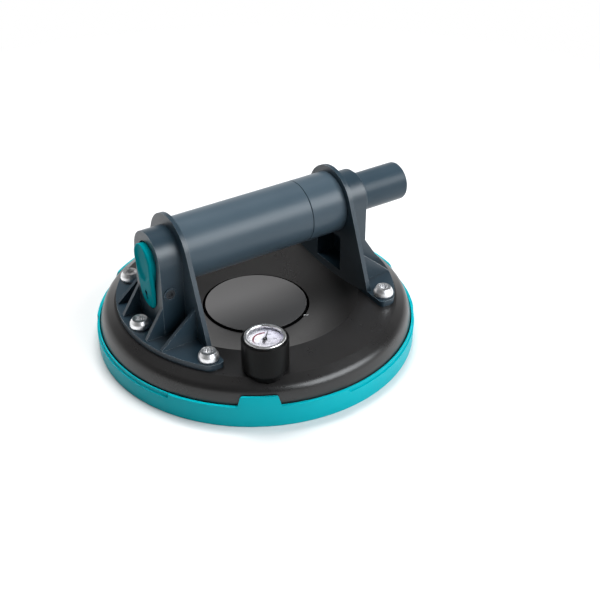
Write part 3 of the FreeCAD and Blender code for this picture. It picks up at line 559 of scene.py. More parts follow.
# %% Outlines with rounded corners
def rounded(corners, steps=4):
    """Closed outline in which each (a, b, radius) corner becomes an arc that meets both sides."""
    outline = []
    for k, (a, b, radius) in enumerate(corners):
        corner = Vector((a, b))
        before = Vector(corners[k - 1][:2]) - corner
        after = Vector(corners[(k + 1) % len(corners)][:2]) - corner
        if radius == 0 or before.length == 0 or after.length == 0:
            outline.append((a, b))
            continue
        before.normalize()
        after.normalize()
        half = before.angle(after) / 2
        centre = corner + (before + after).normalized() * radius / math.sin(half)
        first = corner + before * radius / math.tan(half) - centre
        last = corner + after * radius / math.tan(half) - centre
        start = math.atan2(first.y, first.x)
        sweep = (math.atan2(last.y, last.x) - start + math.pi) % math.tau - math.pi
        for step in range(steps + 1):
            turn = start + sweep * step / steps
            outline.append((centre.x + radius * math.cos(turn), centre.y + radius * math.sin(turn)))
    return outline


print("a rounded square has", len(rounded([(0, 0, 1), (9, 0, 1), (9, 9, 1), (0, 9, 1)])), "points")

# %% Turned pieces
def upright(at):
    """Placing for a part that is turned about a vertical axis through a point."""
    return lambda r, turn, h: (at[0] + r * math.cos(turn), at[1] + r * math.sin(turn), at[2] + h)


def along_handle(r, turn, x):
    """Placing for a part that is turned about the handle's axis."""
    return (x, r * math.cos(turn), HANDLE_Z + r * math.sin(turn))


def dress(obj, material, slot, *nodes, body="base"):
    """Finish a new piece: its material, the body that it rides on, and what it stands for."""
    paint(obj, material)
    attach(obj, body)
    if nodes:
        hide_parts(*nodes)
    return obj


def turned(name, corners, place, *dressing, turns=144, steps=4, flats=True, body="base"):
    """A section with rounded corners, turned about an axis and then dressed."""
    outline = rounded(corners, steps)
    angles = [math.tau * k / turns for k in range(turns)]
    piece = skin(name, [[place(r, turn, h) for r, h in outline] for turn in angles])
    if flats:
        keep_flats(piece)
    return dress(piece, *dressing, body=body)


about_middle, about_gauge = upright((0.0, 0.0, 0.0)), upright(GAUGE_AT)
print("half a turn takes x = 1 to x =", round(about_middle(1, math.pi, 0)[0], 3))

# %% [markdown]
# ## Suction disc
# The disc is a shell turned about the middle: an upright rim, an outer slope with a rounded
# shoulder, a nearly flat band, and a dish that falls to the well where the cap sits. The crest
# between band and dish is a crisp line, because the mould has a clean edge there. A sculpted or
# subdivided mesh would soften that line, so the section is drawn and turned, as on a lathe.

# %% Disc
RIM_R, RIM_LOW, RIM_TOP = 105.3, 8.0, 16.4
SHOULDER, RIDGE, CREST = (102.5, 25.0), (95.1, 29.2), (69.4, 30.5)
WELL_R, WELL_EDGE, WELL_FLOOR = 36.4, 20.1, 16.6
CHAMBER_R, CHAMBER_LOW, SHELL = 26.0, 9.6, 3.0
UNDER = WELL_FLOOR - SHELL
disc = turned("disc_moulding", [
    (CHAMBER_R, CHAMBER_LOW, 0), (CHAMBER_R + SHELL, CHAMBER_LOW, 0), (CHAMBER_R + SHELL, UNDER, 0),
    (WELL_R + SHELL, UNDER, 0), (CREST[0], CREST[1] - SHELL, 0), (RIDGE[0], RIDGE[1] - SHELL, 0),
    (RIM_R - SHELL, RIM_TOP, 0), (RIM_R - SHELL, RIM_LOW, 0.4), (RIM_R, RIM_LOW, 0.4),
    (RIM_R, RIM_TOP, 0), (*SHOULDER, 8.0), (*RIDGE, 0.4), (*CREST, 0.4),
    (WELL_R, WELL_EDGE, 0.25), (WELL_R, WELL_FLOOR, 0.3), (CHAMBER_R, WELL_FLOOR, 0.3)],
    about_middle, disc_black, "moulded_black", "base_disc", turns=240, steps=6)


def shade_groove(obj, in_groove):
    """Paint the groove's shade round the cap into the faces that a test picks: they take a near-black
    finish.
    """
    obj.data.materials.append(groove_painted_shade)
    for face in obj.data.polygons:
        face.material_index = int(in_groove(face))


# Faces in the well round the cap take the painted groove shade.
shade_groove(disc, lambda face: face.center.xy.length < (WELL_R + 0.1) * MM
             and face.center.z < (WELL_EDGE - 0.3) * MM)
print("disc faces:", len(disc.data.polygons))

# %% [markdown]
# ## Cap
# The cap closes the filter's chamber in the middle of the disc. Its flat top is painted paler than
# the rest, as painted light that makes up for the handle's shadow on it, and it stands in a groove
# whose darkness is painted shade. One mesh can hold both finishes: each face is given the one or the
# other by where it lies.

# %% Cap
CAP_R, CAP_TOP, CAP_FLANGE_R, CAP_THICK = 34.6, 20.9, 35.6, 3.4
PLUG_IN, PLUG_OUT, PLUG_LOW = 22.0, 25.4, WELL_FLOOR - 4.0
# The cap's top takes the paler finish, which is painted light against the handle's shadow.
cap = turned("filter_cap_moulding", [
    (0, CAP_TOP - CAP_THICK, 0), (PLUG_IN, CAP_TOP - CAP_THICK, 0), (PLUG_IN, PLUG_LOW, 0),
    (PLUG_OUT, PLUG_LOW, 0), (PLUG_OUT, WELL_FLOOR + 0.1, 0), (CAP_FLANGE_R, WELL_FLOOR + 0.1, 0),
    (CAP_FLANGE_R, CAP_TOP - 1.5, 0.2), (CAP_R, CAP_TOP - 1.5, 0), (CAP_R, CAP_TOP, 0.35),
    (0, CAP_TOP, 0)], about_middle, cap_painted_light, "moulded_black", "filter_cap")
# The cap's sides and lower faces take the painted groove shade.
shade_groove(cap, lambda face: face.normal.z <= 0.8 or face.center.z <= (CAP_TOP - 0.4) * MM)

# %% [markdown]
# ## Cover
# The teal cover is a shallow tray that clips over the pad. Its rim has three spring tabs that hug
# the disc's slope and three long ledges for the fingers between them. Joining separate tabs on
# would leave seams in the gloss. Instead all of it is one outline whose corners move with the
# angle, so wall, ledges and tabs are a single skin. The tabs lean in along an arc over the slope.

# %% The arc that the tabs follow
def circle_through(p, q, r):
    """Centre and radius of the circle through three points."""
    p, q, r = Vector(p), Vector(q), Vector(r)
    a, b = q - p, r - q
    e, f = a.dot((p + q) / 2), b.dot((q + r) / 2)
    d = a.x * b.y - a.y * b.x
    centre = Vector(((e * b.y - a.y * f) / d, (a.x * f - e * b.x) / d))
    return centre, (p - centre).length


slope_centre, slope_radius = circle_through((RIM_R, RIM_TOP), SHOULDER, RIDGE)


def slope_r(z):
    """Radius, at a height, of the arc through the disc's rim, shoulder and ridge."""
    return slope_centre.x + math.sqrt(slope_radius ** 2 - (z - slope_centre.y) ** 2)


print("the slope's arc has a radius of", round(slope_radius, 1), "mm")

# %% How high the cover's edge is
WALL_LOW_R, WALL_TOP_R, WALL_TOP, WALL_IN, TRAY_FLOOR = 107.7, 107.9, 15.4, 106.0, 2.2
LEDGE_LOW, LEDGE_SHELF, LEDGE_LIP_R = 12.43, 12.6, 106.9
LEDGE_HALF, LEDGE_RAMP = 29.0, 0.7          # degrees
TAB_TOP, TAB_THICK, TAB_GAP, TAB_WAIST = 21.9, 1.4, 0.4, 17.4
TAB_HALF_LOW, TAB_HALF_TOP, TAB_CORNER = 13.6, 12.3, 2.0
TABS = (0.0, 120.0, 240.0)                  # degrees


def tab_height(across):
    """Height of a tab's edge at a distance from its middle."""
    across = abs(across)
    straight_top = TAB_TOP - TAB_CORNER
    if across >= TAB_HALF_LOW:
        return WALL_TOP
    if across > TAB_HALF_TOP:
        share = (TAB_HALF_LOW - across) / (TAB_HALF_LOW - TAB_HALF_TOP)
        return WALL_TOP + share * (straight_top - WALL_TOP)
    if across > TAB_HALF_TOP - TAB_CORNER:
        return straight_top + math.sqrt(TAB_CORNER ** 2 - (across - TAB_HALF_TOP + TAB_CORNER) ** 2)
    return TAB_TOP


def from_nearest(degrees, places):
    """Signed angle to the nearest of several places on the circle."""
    return min(((degrees - place + 180) % 360 - 180 for place in places), key=abs)


print("a tab's edge is", tab_height(0.0), "mm up in the middle and", WALL_TOP, "mm at its foot")

# %% The cover's outline at an angle
def cover_row(degrees):
    """Points of the cover's section, from the middle of its underside round to its floor."""
    across = WALL_TOP_R * math.sin(math.radians(from_nearest(degrees, TABS)))
    top = tab_height(across) if abs(from_nearest(degrees, TABS)) < 30 else WALL_TOP
    aside = abs(from_nearest(degrees, [place + 60 for place in TABS]))
    ledge = min(1.0, max(0.0, (LEDGE_HALF - aside) / LEDGE_RAMP))
    lip_r = WALL_TOP_R + (LEDGE_LIP_R - WALL_TOP_R) * ledge
    low = WALL_TOP + (LEDGE_LOW - WALL_TOP) * ledge
    shelf = WALL_TOP + (LEDGE_SHELF - WALL_TOP) * ledge
    rise = (top - WALL_TOP) / (TAB_TOP - WALL_TOP)
    tip_r = lip_r + (slope_r(TAB_TOP) + TAB_GAP + TAB_THICK - WALL_TOP_R) * rise
    waist = min(TAB_WAIST, top)
    on_tab = rise > 0
    inner_r = slope_r(top) + TAB_GAP if on_tab else WALL_IN
    waist_r = slope_r(waist) + TAB_GAP if on_tab else WALL_IN
    outline = [(0, 0), (WALL_LOW_R - 0.8, 0), (WALL_LOW_R - 0.2, 0.2), (WALL_LOW_R, 0.8),
               (WALL_TOP_R, low), (lip_r, shelf), (tip_r, top), (inner_r, top), (waist_r, waist),
               (WALL_IN, WALL_TOP), (WALL_IN, TRAY_FLOOR + 1.5), (WALL_IN - 0.8, TRAY_FLOOR),
               (0, TRAY_FLOOR)]
    turn = math.radians(degrees)
    return [(r * math.cos(turn), r * math.sin(turn), z) for r, z in outline]


print("an outline of the cover has", len(cover_row(0.0)), "points")

# %% Cover
def cover_angles():
    """Every degree and a half, with extra rows where a tab's side or a ledge's end is."""
    angles = {1.5 * k for k in range(240)}
    corner = [TAB_HALF_TOP - TAB_CORNER + TAB_CORNER * math.sin(math.radians(a))
              for a in range(0, 91, 15)]
    for across in corner + [TAB_HALF_LOW, TAB_HALF_LOW + 0.05]:
        aside = math.degrees(math.asin(across / WALL_TOP_R))
        angles |= {(tab + side * aside) % 360 for tab in TABS for side in (-1, 1)}
    for aside in (LEDGE_HALF, LEDGE_HALF - LEDGE_RAMP):
        angles |= {(tab + 60 + side * aside) % 360 for tab in TABS for side in (-1, 1)}
    return sorted(angles)


cover = skin("cover_moulding", [cover_row(degrees) for degrees in cover_angles()])
edge = cover.modifiers.new("round_edges", "BEVEL")
edge.width, edge.segments, edge.angle_limit = 0.3 * MM, 2, math.radians(28)
keep_flats(cover)
dress(cover, cover_teal, "cover_plastic", "protective_cover", "cover_tabs", body="cover")
print("cover rows:", len(cover_angles()))

# %% [markdown]
# ## Pad
# Under the disc, bonded to a steel plate, is the rubber pad. Its edge is a soft lip, and the face
# that grips the tile has fine rings. It only shows when the cover is off. The rings are real steps
# in the outline, made by a loop, because a bump in the material would look flat from the side.

# %% Pad
PAD_R, PAD_IN, LIP_LOW, WEB, PAD_TOP = 105.0, 18.0, 2.6, 5.2, 7.4
RINGS, RING_FIRST, RING_STEP, RING_DEPTH = 8, 90.0, 8.0, 0.5
rings = []
for k in range(RINGS):
    r = RING_FIRST - RING_STEP * k
    rings += [(r, WEB, 0.3), (r - 0.8, WEB - RING_DEPTH, 0.3),
              (r - 2.4, WEB - RING_DEPTH, 0.3), (r - 3.2, WEB, 0.3)]
pad = turned("rubber_pad", [
    (PAD_IN, PAD_TOP, 0), (PAD_R - 0.6, PAD_TOP, 0), (PAD_R, PAD_TOP - 0.8, 0.3),
    (PAD_R, LIP_LOW + 0.8, 0.4), (PAD_R - 0.9, LIP_LOW, 0.5), (98.0, LIP_LOW, 1.0),
    (96.2, LIP_LOW + 1.3, 0.6)] + rings + [(PAD_IN, WEB, 0.3)],
    about_middle, pad_rubber, "pad_rubber", "suction_pad", turns=180, steps=3)
print("pad faces:", len(pad.data.polygons))

# %% [markdown]
# ## Grip, pump rod and bushing
# The handle is a barrel in a rubber sleeve. The sleeve comes in a long and a short piece with a
# fine seam between them, and the pump's rod slides out at the right through a bushing. All are
# turned about the handle's axis. The seam needs no piece of its own: the two sleeves' rounded ends
# meet there, and the light does the rest.

# %% Grip
GRIP_R, GRIP_BORE = 20.9, 17.15


def sleeve(name, node):
    """A rubber sleeve over the length of its mechanical part."""
    low, high, _ = span(node)
    return turned(name, [(GRIP_BORE, low.x, 0), (GRIP_R, low.x, 0.4), (GRIP_R, high.x, 0.4),
                         (GRIP_BORE, high.x, 0)],
                  along_handle, grip_rubber, "grip_rubber", node, turns=192)


sleeves = [sleeve("grip_sleeve_long", "grip_sleeve"), sleeve("grip_sleeve_short", "grip_collar")]
print("sleeves:", [piece.name for piece in sleeves])

# %% Pump rod and bushing
ROD_R, ROD_BACK, ROD_END = 13.2, 45.0, 117.0
BUSH_BORE, BUSH_R, BUSH_LIP_R, BUSH_STEP = ROD_R + 0.08, 14.67, 16.4, 59.5
turned("pump_rod", [
    (0, ROD_BACK, 0), (ROD_R, ROD_BACK, 0.4), (ROD_R, ROD_END - 0.6, 2.2),
    (ROD_R * 0.4, ROD_END, 4.0), (0, ROD_END, 0)],
    along_handle, pump_grey, "pump_plastic", "plunger", turns=160, steps=6, body="plunger")

bush_low, bush_high, _ = span("guide_bushing")
turned("rod_bushing", [
    (BUSH_BORE, bush_low.x, 0), (BUSH_R, bush_low.x, 0), (BUSH_R, BUSH_STEP, 0),
    (15.2, BUSH_STEP, 0), (15.2, bush_high.x - 2.2, 0), (BUSH_LIP_R, bush_high.x - 2.2, 0),
    (BUSH_LIP_R, bush_high.x, 0.7), (BUSH_BORE, bush_high.x, 0.3)],
    along_handle, bracket_grey, "pump_plastic", "guide_bushing", turns=160)
print("rod reaches x", ROD_END, "and the bushing", round(bush_high.x, 1))

# %% [markdown]
# ## Bracket screws
# Six button-head screws hold the brackets down. Each head is a dome with a flat, polished ring on
# top and a six-pointed socket in it. Only the socket's wall depends on the angle, so the head is
# one skin again, and the six heads share it.

# %% The rows of one screw
HEAD_R, HEAD_H, RING_R = 6.7, 6.3, 4.7
STAR_R, STAR_POINT, STAR_DEPTH = 2.75, 0.42, 2.6
SHANK_R, SHANK_LOW = 2.95, -23.3


def screw_rows(at, turns=96):
    """Outlines round a screw that stands at a point. Only the socket's wall changes between them."""
    place = upright(at)
    head = rounded([(SHANK_R, 0.0, 0), (HEAD_R - 0.7, 0.0, 0.3), (HEAD_R, 1.4, 1.2),
                    (HEAD_R - 0.3, 3.6, 2.6), (RING_R + 0.25, HEAD_H - 0.45, 0.8),
                    (RING_R, HEAD_H, 0.15)])
    rows = []
    for k in range(turns):
        turn = math.tau * k / turns
        star = STAR_R + STAR_POINT * math.cos(6 * turn)
        outline = [(0, SHANK_LOW), (SHANK_R, SHANK_LOW)] + head + [
            (star + 0.2, HEAD_H), (star, HEAD_H - 0.2), (star, HEAD_H - STAR_DEPTH),
            (0, HEAD_H - STAR_DEPTH - 0.6)]
        rows.append([place(r, turn, h) for r, h in outline])
    return rows


print("a screw is", HEAD_H - SHANK_LOW, "mm long")

# %% Six screws
SCREWS_R, SCREW_STEP, FOOT_TOP = 86.2, 39.4, 33.4


def screws(name, node, middle):
    """Three screws round the foot of a bracket, whose middle is at an angle in degrees."""
    parts = []
    for step in (-1, 0, 1):
        turn = math.radians(middle + step * SCREW_STEP)
        at = (SCREWS_R * math.cos(turn), SCREWS_R * math.sin(turn), FOOT_TOP)
        parts.append(skin(f"{name}_{step + 2}", screw_rows(at)))
        keep_flats(parts[-1])
        dress(parts[-1], screw_steel, "screw_steel", node)
    return parts


heads = screws("screw_left", "bracket_screws_left", 180.0)
heads += screws("screw_right", "bracket_screws_right", 0.0)
print("screws:", [o.name for o in heads])

# %% [markdown]
# ## Release lever
# The thumb lever is egg-shaped from the front and swells towards its top, with an oval dish for
# the thumb. A subdivided block could be pushed into that shape by hand, but a formula is easier to
# correct. Rows of points follow the egg's outline inwards, and the formula gives how far the front
# stands out at each: a swelling side profile, a rounded rim, and a dish pressed into it.

# %% The lever's measures
POCKET_EGG = (11.2, 80.8, 5.9, 51.4)      # radius and height of the top arc, then of the low one
FRONT_EGG = (11.2, 80.8, 9.4, 55.2)
SWELLING = ((45.8, 6.3), (66.0, 8.2), (86.0, 9.3))
LEVER_BACK, LEVER_EDGE, FLANGE_OUT, TILT = -72.6, 2.2, 5.2, 6.2
DISH_Z, DISH_HALF, DISH_REACH, DISH_DEPTH = 79.0, 8.4, 13.0, 1.4
KEYHOLE_Z, KEYHOLE_R, SLOT_HALF, SLOT_LOW = 57.0, 1.6, 0.8, 51.8
BACK_MIDDLE_Z, FRONT_MIDDLE_Z, FILLING_ROWS = 70.0, 74.0, 18
pivot_mid = span("lever_pin")[2]
PIVOT_X, PIVOT_Z = pivot_mid.x, pivot_mid.z
print("the lever tilts about x", round(PIVOT_X, 1), "z", round(PIVOT_Z, 1))

# %% The lever's outline from the front
def egg(shape, inset=0.0, steps=40, flank=14):
    """Egg outline in (y, z), drawn in by a distance: two arcs joined by straight flanks."""
    top_r, top_z, low_r, low_z = shape
    lean = math.asin((top_r - low_r) / (top_z - low_z))
    top_r, low_r = top_r - inset, max(low_r - inset, 0.0)
    points = []
    for k in range(steps + 1):
        turn = -lean + (math.pi + 2 * lean) * k / steps
        points.append((top_r * math.cos(turn), top_z + top_r * math.sin(turn)))
    first_low = (-low_r * math.cos(lean), low_z - low_r * math.sin(lean))
    points += [tuple(Vector(points[-1]).lerp(Vector(first_low), k / flank)) for k in range(1, flank)]
    for k in range(steps // 2 + 1):
        turn = math.pi + lean + (math.pi - 2 * lean) * k / (steps // 2)
        points.append((low_r * math.cos(turn), low_z + low_r * math.sin(turn)))
    last, first = Vector(points[-1]), Vector(points[0])
    return points + [tuple(last.lerp(first, k / flank)) for k in range(1, flank)]


print("the egg has", len(egg(FRONT_EGG)), "points")

# %% How far the lever's front stands out
def swell(z):
    """How far the lever's front stands out from its back at a height: a curve through three."""
    (z0, d0), (z1, d1), (z2, d2) = SWELLING
    return (d0 * (z - z1) * (z - z2) / ((z0 - z1) * (z0 - z2))
            + d1 * (z - z0) * (z - z2) / ((z1 - z0) * (z1 - z2))
            + d2 * (z - z0) * (z - z1) / ((z2 - z0) * (z2 - z1)))


def flange_back(z):
    """How far out the flange starts: just off the bracket, with room to tilt above the pin."""
    return FLANGE_OUT + max(0.0, z - PIVOT_Z) * math.tan(math.radians(TILT))


def lever_front(y, z, inset):
    """Where the front lies at a point of the egg that is an inset away from its edge."""
    out = swell(z)
    if inset < LEVER_EDGE:
        drop = 1 - math.sqrt(1 - (1 - inset / LEVER_EDGE) ** 2)
        out -= drop * min(LEVER_EDGE, 0.8 * (out - flange_back(z)))
    inside = 1 - (y / DISH_HALF) ** 2 - ((z - DISH_Z) / DISH_REACH) ** 2
    if inside > 0:
        share = min(1.0, inside / 0.6)
        out -= DISH_DEPTH * share * (2 - share)
    return LEVER_BACK - out


print("the front is", round(-lever_front(0, DISH_Z, LEVER_EDGE), 1), "mm out in the dish")

# %% The lever's rows, from the middle of its back to the middle of its front
def lever_rows():
    inner, outer = egg(POCKET_EGG), egg(FRONT_EGG)
    rows = [[(LEVER_BACK, 0.0, BACK_MIDDLE_Z)] * len(inner), [(LEVER_BACK, y, z) for y, z in inner]]
    rows += [[(LEVER_BACK - flange_back(z), y, z) for y, z in ring] for ring in (inner, outer)]
    insets = [LEVER_EDGE * (1 - math.cos(math.radians(a))) for a in range(0, 91, 15)]
    insets += [LEVER_EDGE + 0.5 * k for k in range(1, 10)]
    for inset in insets:
        rows.append([(lever_front(y, z, inset), y, z) for y, z in egg(FRONT_EGG, inset)])
    middle, last = Vector((0.0, FRONT_MIDDLE_Z)), egg(FRONT_EGG, insets[-1])
    for k in range(1, FILLING_ROWS + 1):
        share = 1 - k / FILLING_ROWS
        ring = [middle + (Vector(point) - middle) * share for point in last]
        rows.append([(lever_front(y, z, LEVER_EDGE), y, z) for y, z in ring])
    return rows


print("lever rows:", len(lever_rows()))

# %% Keyhole
def cut_away(obj, tool):
    """Cut one closed piece with another, which is then deleted."""
    cut = obj.modifiers.new("cut", "BOOLEAN")
    cut.operation, cut.solver, cut.object = "DIFFERENCE", "EXACT", tool
    cut.material_mode = "TRANSFER"
    bpy.context.view_layer.update()
    shape = obj.evaluated_get(bpy.context.evaluated_depsgraph_get())
    obj.data = bpy.data.meshes.new_from_object(shape)
    obj.modifiers.clear()
    bpy.data.objects.remove(tool)


def keyhole():
    """A round hole with a slot below it, as a piece to cut away."""
    turns = [math.radians(-60 + 300 * k / 20) for k in range(21)]
    outline = [(KEYHOLE_R * math.cos(turn), KEYHOLE_Z + KEYHOLE_R * math.sin(turn)) for turn in turns]
    outline += [(-SLOT_HALF, SLOT_LOW), (SLOT_HALF, SLOT_LOW)]
    rows = [[(x, 0.0, KEYHOLE_Z)] * len(outline) if closing else [(x, y, z) for y, z in outline]
            for x, closing in ((-86, True), (-86, False), (-75, False), (-75, True))]
    tool = skin("keyhole_tool", rows, around=False)
    tool.data.materials.append(keyhole_navy)
    return tool


lever = skin("thumb_lever", lever_rows(), around=False)
lever.data.materials.append(lever_teal)
cut_away(lever, keyhole())
keep_flats(lever)
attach(lever, "release_lever")
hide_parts("release_lever")
print("lever faces:", len(lever.data.polygons))

# %% [markdown]
# ## Lever pin
# The lever turns on a pin that crosses the bracket. One end shows as a small round head with a
# dimple in it, so it is turned like the rest, about the pivot's own axis.

# %% Lever pin
PIN_FACE, PIN_BACK, PIN_R, PIN_HEAD_R, PIN_HEAD = -18.8, 16.2, 2.2, 3.2, 2.4


def on_pivot(r, turn, y):
    """Placing for a part that is turned about the lever's pivot."""
    return (PIVOT_X + r * math.cos(turn), y, PIVOT_Z + r * math.sin(turn))


turned("lever_pivot_pin", [
    (0, PIN_FACE + 1.8, 0), (1.5, PIN_FACE + 1.6, 0.2), (1.7, PIN_FACE, 0.2),
    (PIN_HEAD_R, PIN_FACE, 0.4), (PIN_HEAD_R, PIN_FACE + PIN_HEAD, 0.2),
    (PIN_R, PIN_FACE + PIN_HEAD, 0.2), (PIN_R, PIN_BACK, 0.4), (0, PIN_BACK, 0)],
    on_pivot, pin_brown, "screw_steel", "lever_pin", turns=48)
print("pin is", round(PIN_BACK - PIN_FACE, 1), "mm long")

# %% [markdown]
# ## Vacuum gauge
# The gauge is a black cup with a bright ring, a white dial and a thin pointer under a clear lens.
# Its printing could be a texture, but here it is thin geometry, a hair above the card, which stays
# sharp at any distance: an arc for the working range, a ring of ticks, and plain numbers.

# %% Gauge housing, ring and lens
HOUSING_R, HOUSING_BORE, CUP_FLOOR = 14.7, 13.1, -14.3       # heights are from the gauge's top
CUP_FOOT, NECK_R, NECK_LOW = -21.0, 13.2, -28.4
RING_OUT, GLASS_R, CARD_BORE, DIAL_DEPTH, CARD_LOW = 12.9, 11.0, 0.9, 2.1, -2.7
turned("gauge_cup", [
    (0, NECK_LOW, 0), (NECK_R, NECK_LOW, 0), (NECK_R, CUP_FOOT, 0), (HOUSING_R, CUP_FOOT, 0.6),
    (HOUSING_R, 0, 0.8), (HOUSING_BORE, 0, 0.25), (HOUSING_BORE, CUP_FLOOR, 0), (0, CUP_FLOOR, 0)],
    about_gauge, gauge_black, "moulded_black", "gauge_housing", turns=128)
turned("gauge_ring", [
    (RING_OUT, -2.0, 0), (RING_OUT, 0.5, 0.4), (12.6, 1.0, 0.3), (11.3, 1.0, 0.35),
    (10.9, 0.3, 0.2), (11.4, -2.0, 0)],
    about_gauge, bezel_chrome, "bezel_chrome", "gauge_bezel", turns=128)
turned("gauge_glass", [
    (0, -0.35, 0), (GLASS_R, -0.35, 0), (10.85, 0.1, 0), (9.0, 0.3, 2.0), (0, 0.42, 0)],
    about_gauge, lens_clear, "lens_clear", "gauge_lens", turns=96, flats=False)
turned("gauge_card", [
    (CARD_BORE, CARD_LOW, 0), (RING_OUT, CARD_LOW, 0), (RING_OUT, -DIAL_DEPTH, 0),
    (CARD_BORE, -DIAL_DEPTH, 0)],
    about_gauge, dial_white, "dial_white", "gauge_dial", turns=96, flats=False)
print("gauge is", round((gauge_high - gauge_low).x, 1), "mm across")

# %% Places on the dial
DIAL_UP = math.radians(60.0)                # where the dial's top points
DIAL_START, DIAL_SWEEP = -135, 270          # clock degrees
PRINT_Z = GAUGE_AT.z - DIAL_DEPTH + 0.03
DIAL_MIDDLE = Vector((GAUGE_AT.x, GAUGE_AT.y, PRINT_Z))


def on_dial(clock, r, aside=0.0):
    """A point on the card, given in clock degrees from its top, and how far it is off that line."""
    turn = DIAL_UP - math.radians(clock)
    arm = Vector((math.cos(turn), math.sin(turn), 0))
    return DIAL_MIDDLE + arm * r + Vector((-arm.y, arm.x, 0)) * aside


print("the dial's top is at", round(math.degrees(DIAL_UP)), "degrees")

# %% The dial's arc and ticks
ARC_FROM, ARC_TO, ARC_STEPS, ARC_IN, ARC_OUT = -122, 0, 48, 6.7, 7.8
TICKS, LONG_EVERY, TICK_OUT = 30, 5, 9.9
LONG_TICK, SHORT_TICK = (8.4, 0.13), (9.1, 0.07)        # inner radius, half the width

clocks = [ARC_FROM + (ARC_TO - ARC_FROM) * k / ARC_STEPS for k in range(ARC_STEPS + 1)]
arc = skin("dial_arc", [[on_dial(clock, ARC_IN), on_dial(clock, ARC_OUT)] for clock in clocks],
           around=False, closed=False)
dress(arc, print_red, "dial_white")

ticks = bmesh.new()
for k in range(TICKS + 1):
    r_in, half = SHORT_TICK if k % LONG_EVERY else LONG_TICK
    corners = ((r_in, -half), (TICK_OUT, -half), (TICK_OUT, half), (r_in, half))
    ticks.faces.new([ticks.verts.new(on_dial(DIAL_START + DIAL_SWEEP / TICKS * k, r, aside) * MM)
                     for r, aside in corners])
dress(as_object("dial_ticks", ticks), print_grey, "dial_white")
print("ticks:", TICKS + 1, "and an arc over", ARC_TO - ARC_FROM, "degrees")

# %% The dial's numbers
NUMBERS, NUMBER_R, NUMBER_SIZE = 5, 6.1, 2.1
for k in range(NUMBERS + 1):
    name = f"dial_number_{100 // NUMBERS * k}"
    letters = bpy.data.curves.new(name, "FONT")
    letters.body, letters.size = str(100 // NUMBERS * k), NUMBER_SIZE * MM
    letters.align_x, letters.align_y = "CENTER", "CENTER"
    number = add_object(name, letters)
    number.location = on_dial(DIAL_START + DIAL_SWEEP / NUMBERS * k, NUMBER_R) * MM
    number.rotation_euler.z = DIAL_UP - math.pi / 2
    dress(number, print_grey, "dial_white")

# %% The pointer's outlines
NEEDLE_ANGLE = math.radians(46.0)
WEIGHT_AT, WEIGHT_R, HUB_R, TIP_AT = -3.4, 1.0, 1.35, 8.8
NEEDLE_LOW, NEEDLE_TOP = PRINT_Z + 0.6, PRINT_Z + 0.9


def ring_of_points(middle, radius, sides):
    """A circle whose middle is some way along the pointer."""
    turns = [math.tau * k / sides for k in range(sides)]
    return [(middle + radius * math.cos(turn), radius * math.sin(turn)) for turn in turns]


TAPER = [(WEIGHT_AT, -0.4), (0.0, -0.42), (TIP_AT, -0.12), (TIP_AT, 0.12), (0.0, 0.42),
         (WEIGHT_AT, 0.4)]
NEEDLE_PARTS = [(ring_of_points(WEIGHT_AT, WEIGHT_R, 20), 0.0),      # outline, how much higher it is
                (ring_of_points(0.0, HUB_R, 24), 0.05), (TAPER, 0.0)]
print("the pointer's parts have", [len(shape) for shape, _ in NEEDLE_PARTS], "corners")

# %% Pointer
def make_pointer():
    """A counterweight, a hub that stands a little higher, and a long taper."""
    mesh = bmesh.new()
    c, s = math.cos(NEEDLE_ANGLE), math.sin(NEEDLE_ANGLE)
    for shape, lift in NEEDLE_PARTS:
        raised = [(x * c - y * s + GAUGE_AT.x, x * s + y * c + GAUGE_AT.y) for x, y in shape]
        under = [mesh.verts.new(Vector((x, y, NEEDLE_LOW)) * MM) for x, y in raised]
        over = [mesh.verts.new(Vector((x, y, NEEDLE_TOP + lift)) * MM) for x, y in raised]
        mesh.faces.new(over)
        mesh.faces.new(under[::-1])
        for k in range(len(shape)):
            after = (k + 1) % len(shape)
            mesh.faces.new((under[k], under[after], over[after], over[k]))
    return dress(as_object("gauge_pointer", mesh), pointer_black, "pointer_black", "gauge_needle",
                 body="pointer")


pointer = make_pointer()
print("pointer is", round(pointer.dimensions.length / MM, 1), "mm corner to corner")

# %% [markdown]
# ## Springs
# A coil spring neither slides nor turns. One end stays and the other follows what it pushes, so it
# gets shorter. Left stiff, it would cut into the part that comes towards it. Each spring is
# therefore a copy of its own coils that closes up towards the fixed end, by the share that the
# joint's travel takes from its length.

# %% How far the joints travel, and where the springs' fixed ends are
behaviour = frame["record"]["behaviour"]
joints = {joint["name"]: joint for joint in behaviour["joints"]}
FIXED_ENDS = {end["node"]: end["fixed_end_x_m"] for joint in joints.values()
              for end in joint.get("deforming_nodes", []) if "fixed_end_x_m" in end}
STEM_PER_TURN = behaviour["couplings"][0]["ratio"]         # metres for each radian of the lever
stem_travel = STEM_PER_TURN * math.radians(joints["release_press"]["range_deg"][1])
print("the release stem travels", round(stem_travel / MM, 1), "mm")

# %% Copies of the springs
def closing_coils(name, node, travel):
    """A copy of a spring's coils in a mesh of its own, in spring steel in place of the part; its
    length along X is handed back. The travel, in metres, is not used.
    """
    piece = add_object(name, frame["nodes"][node].data.copy())
    dress(piece, spring_steel, "spring_steel", node)
    low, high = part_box(node)
    length = high[0] - low[0]
    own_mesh(piece)
    return length


lengths = [closing_coils("return_coils", "return_spring",
                         joints["pump_stroke"]["range_m"][1]),
           closing_coils("check_coils", "check_spring",
                         joints["check_lift"]["range_m"][1]),
           closing_coils("release_coils", "release_spring", stem_travel)]
print("springs at rest in mm:", [round(length / MM, 1) for length in lengths])

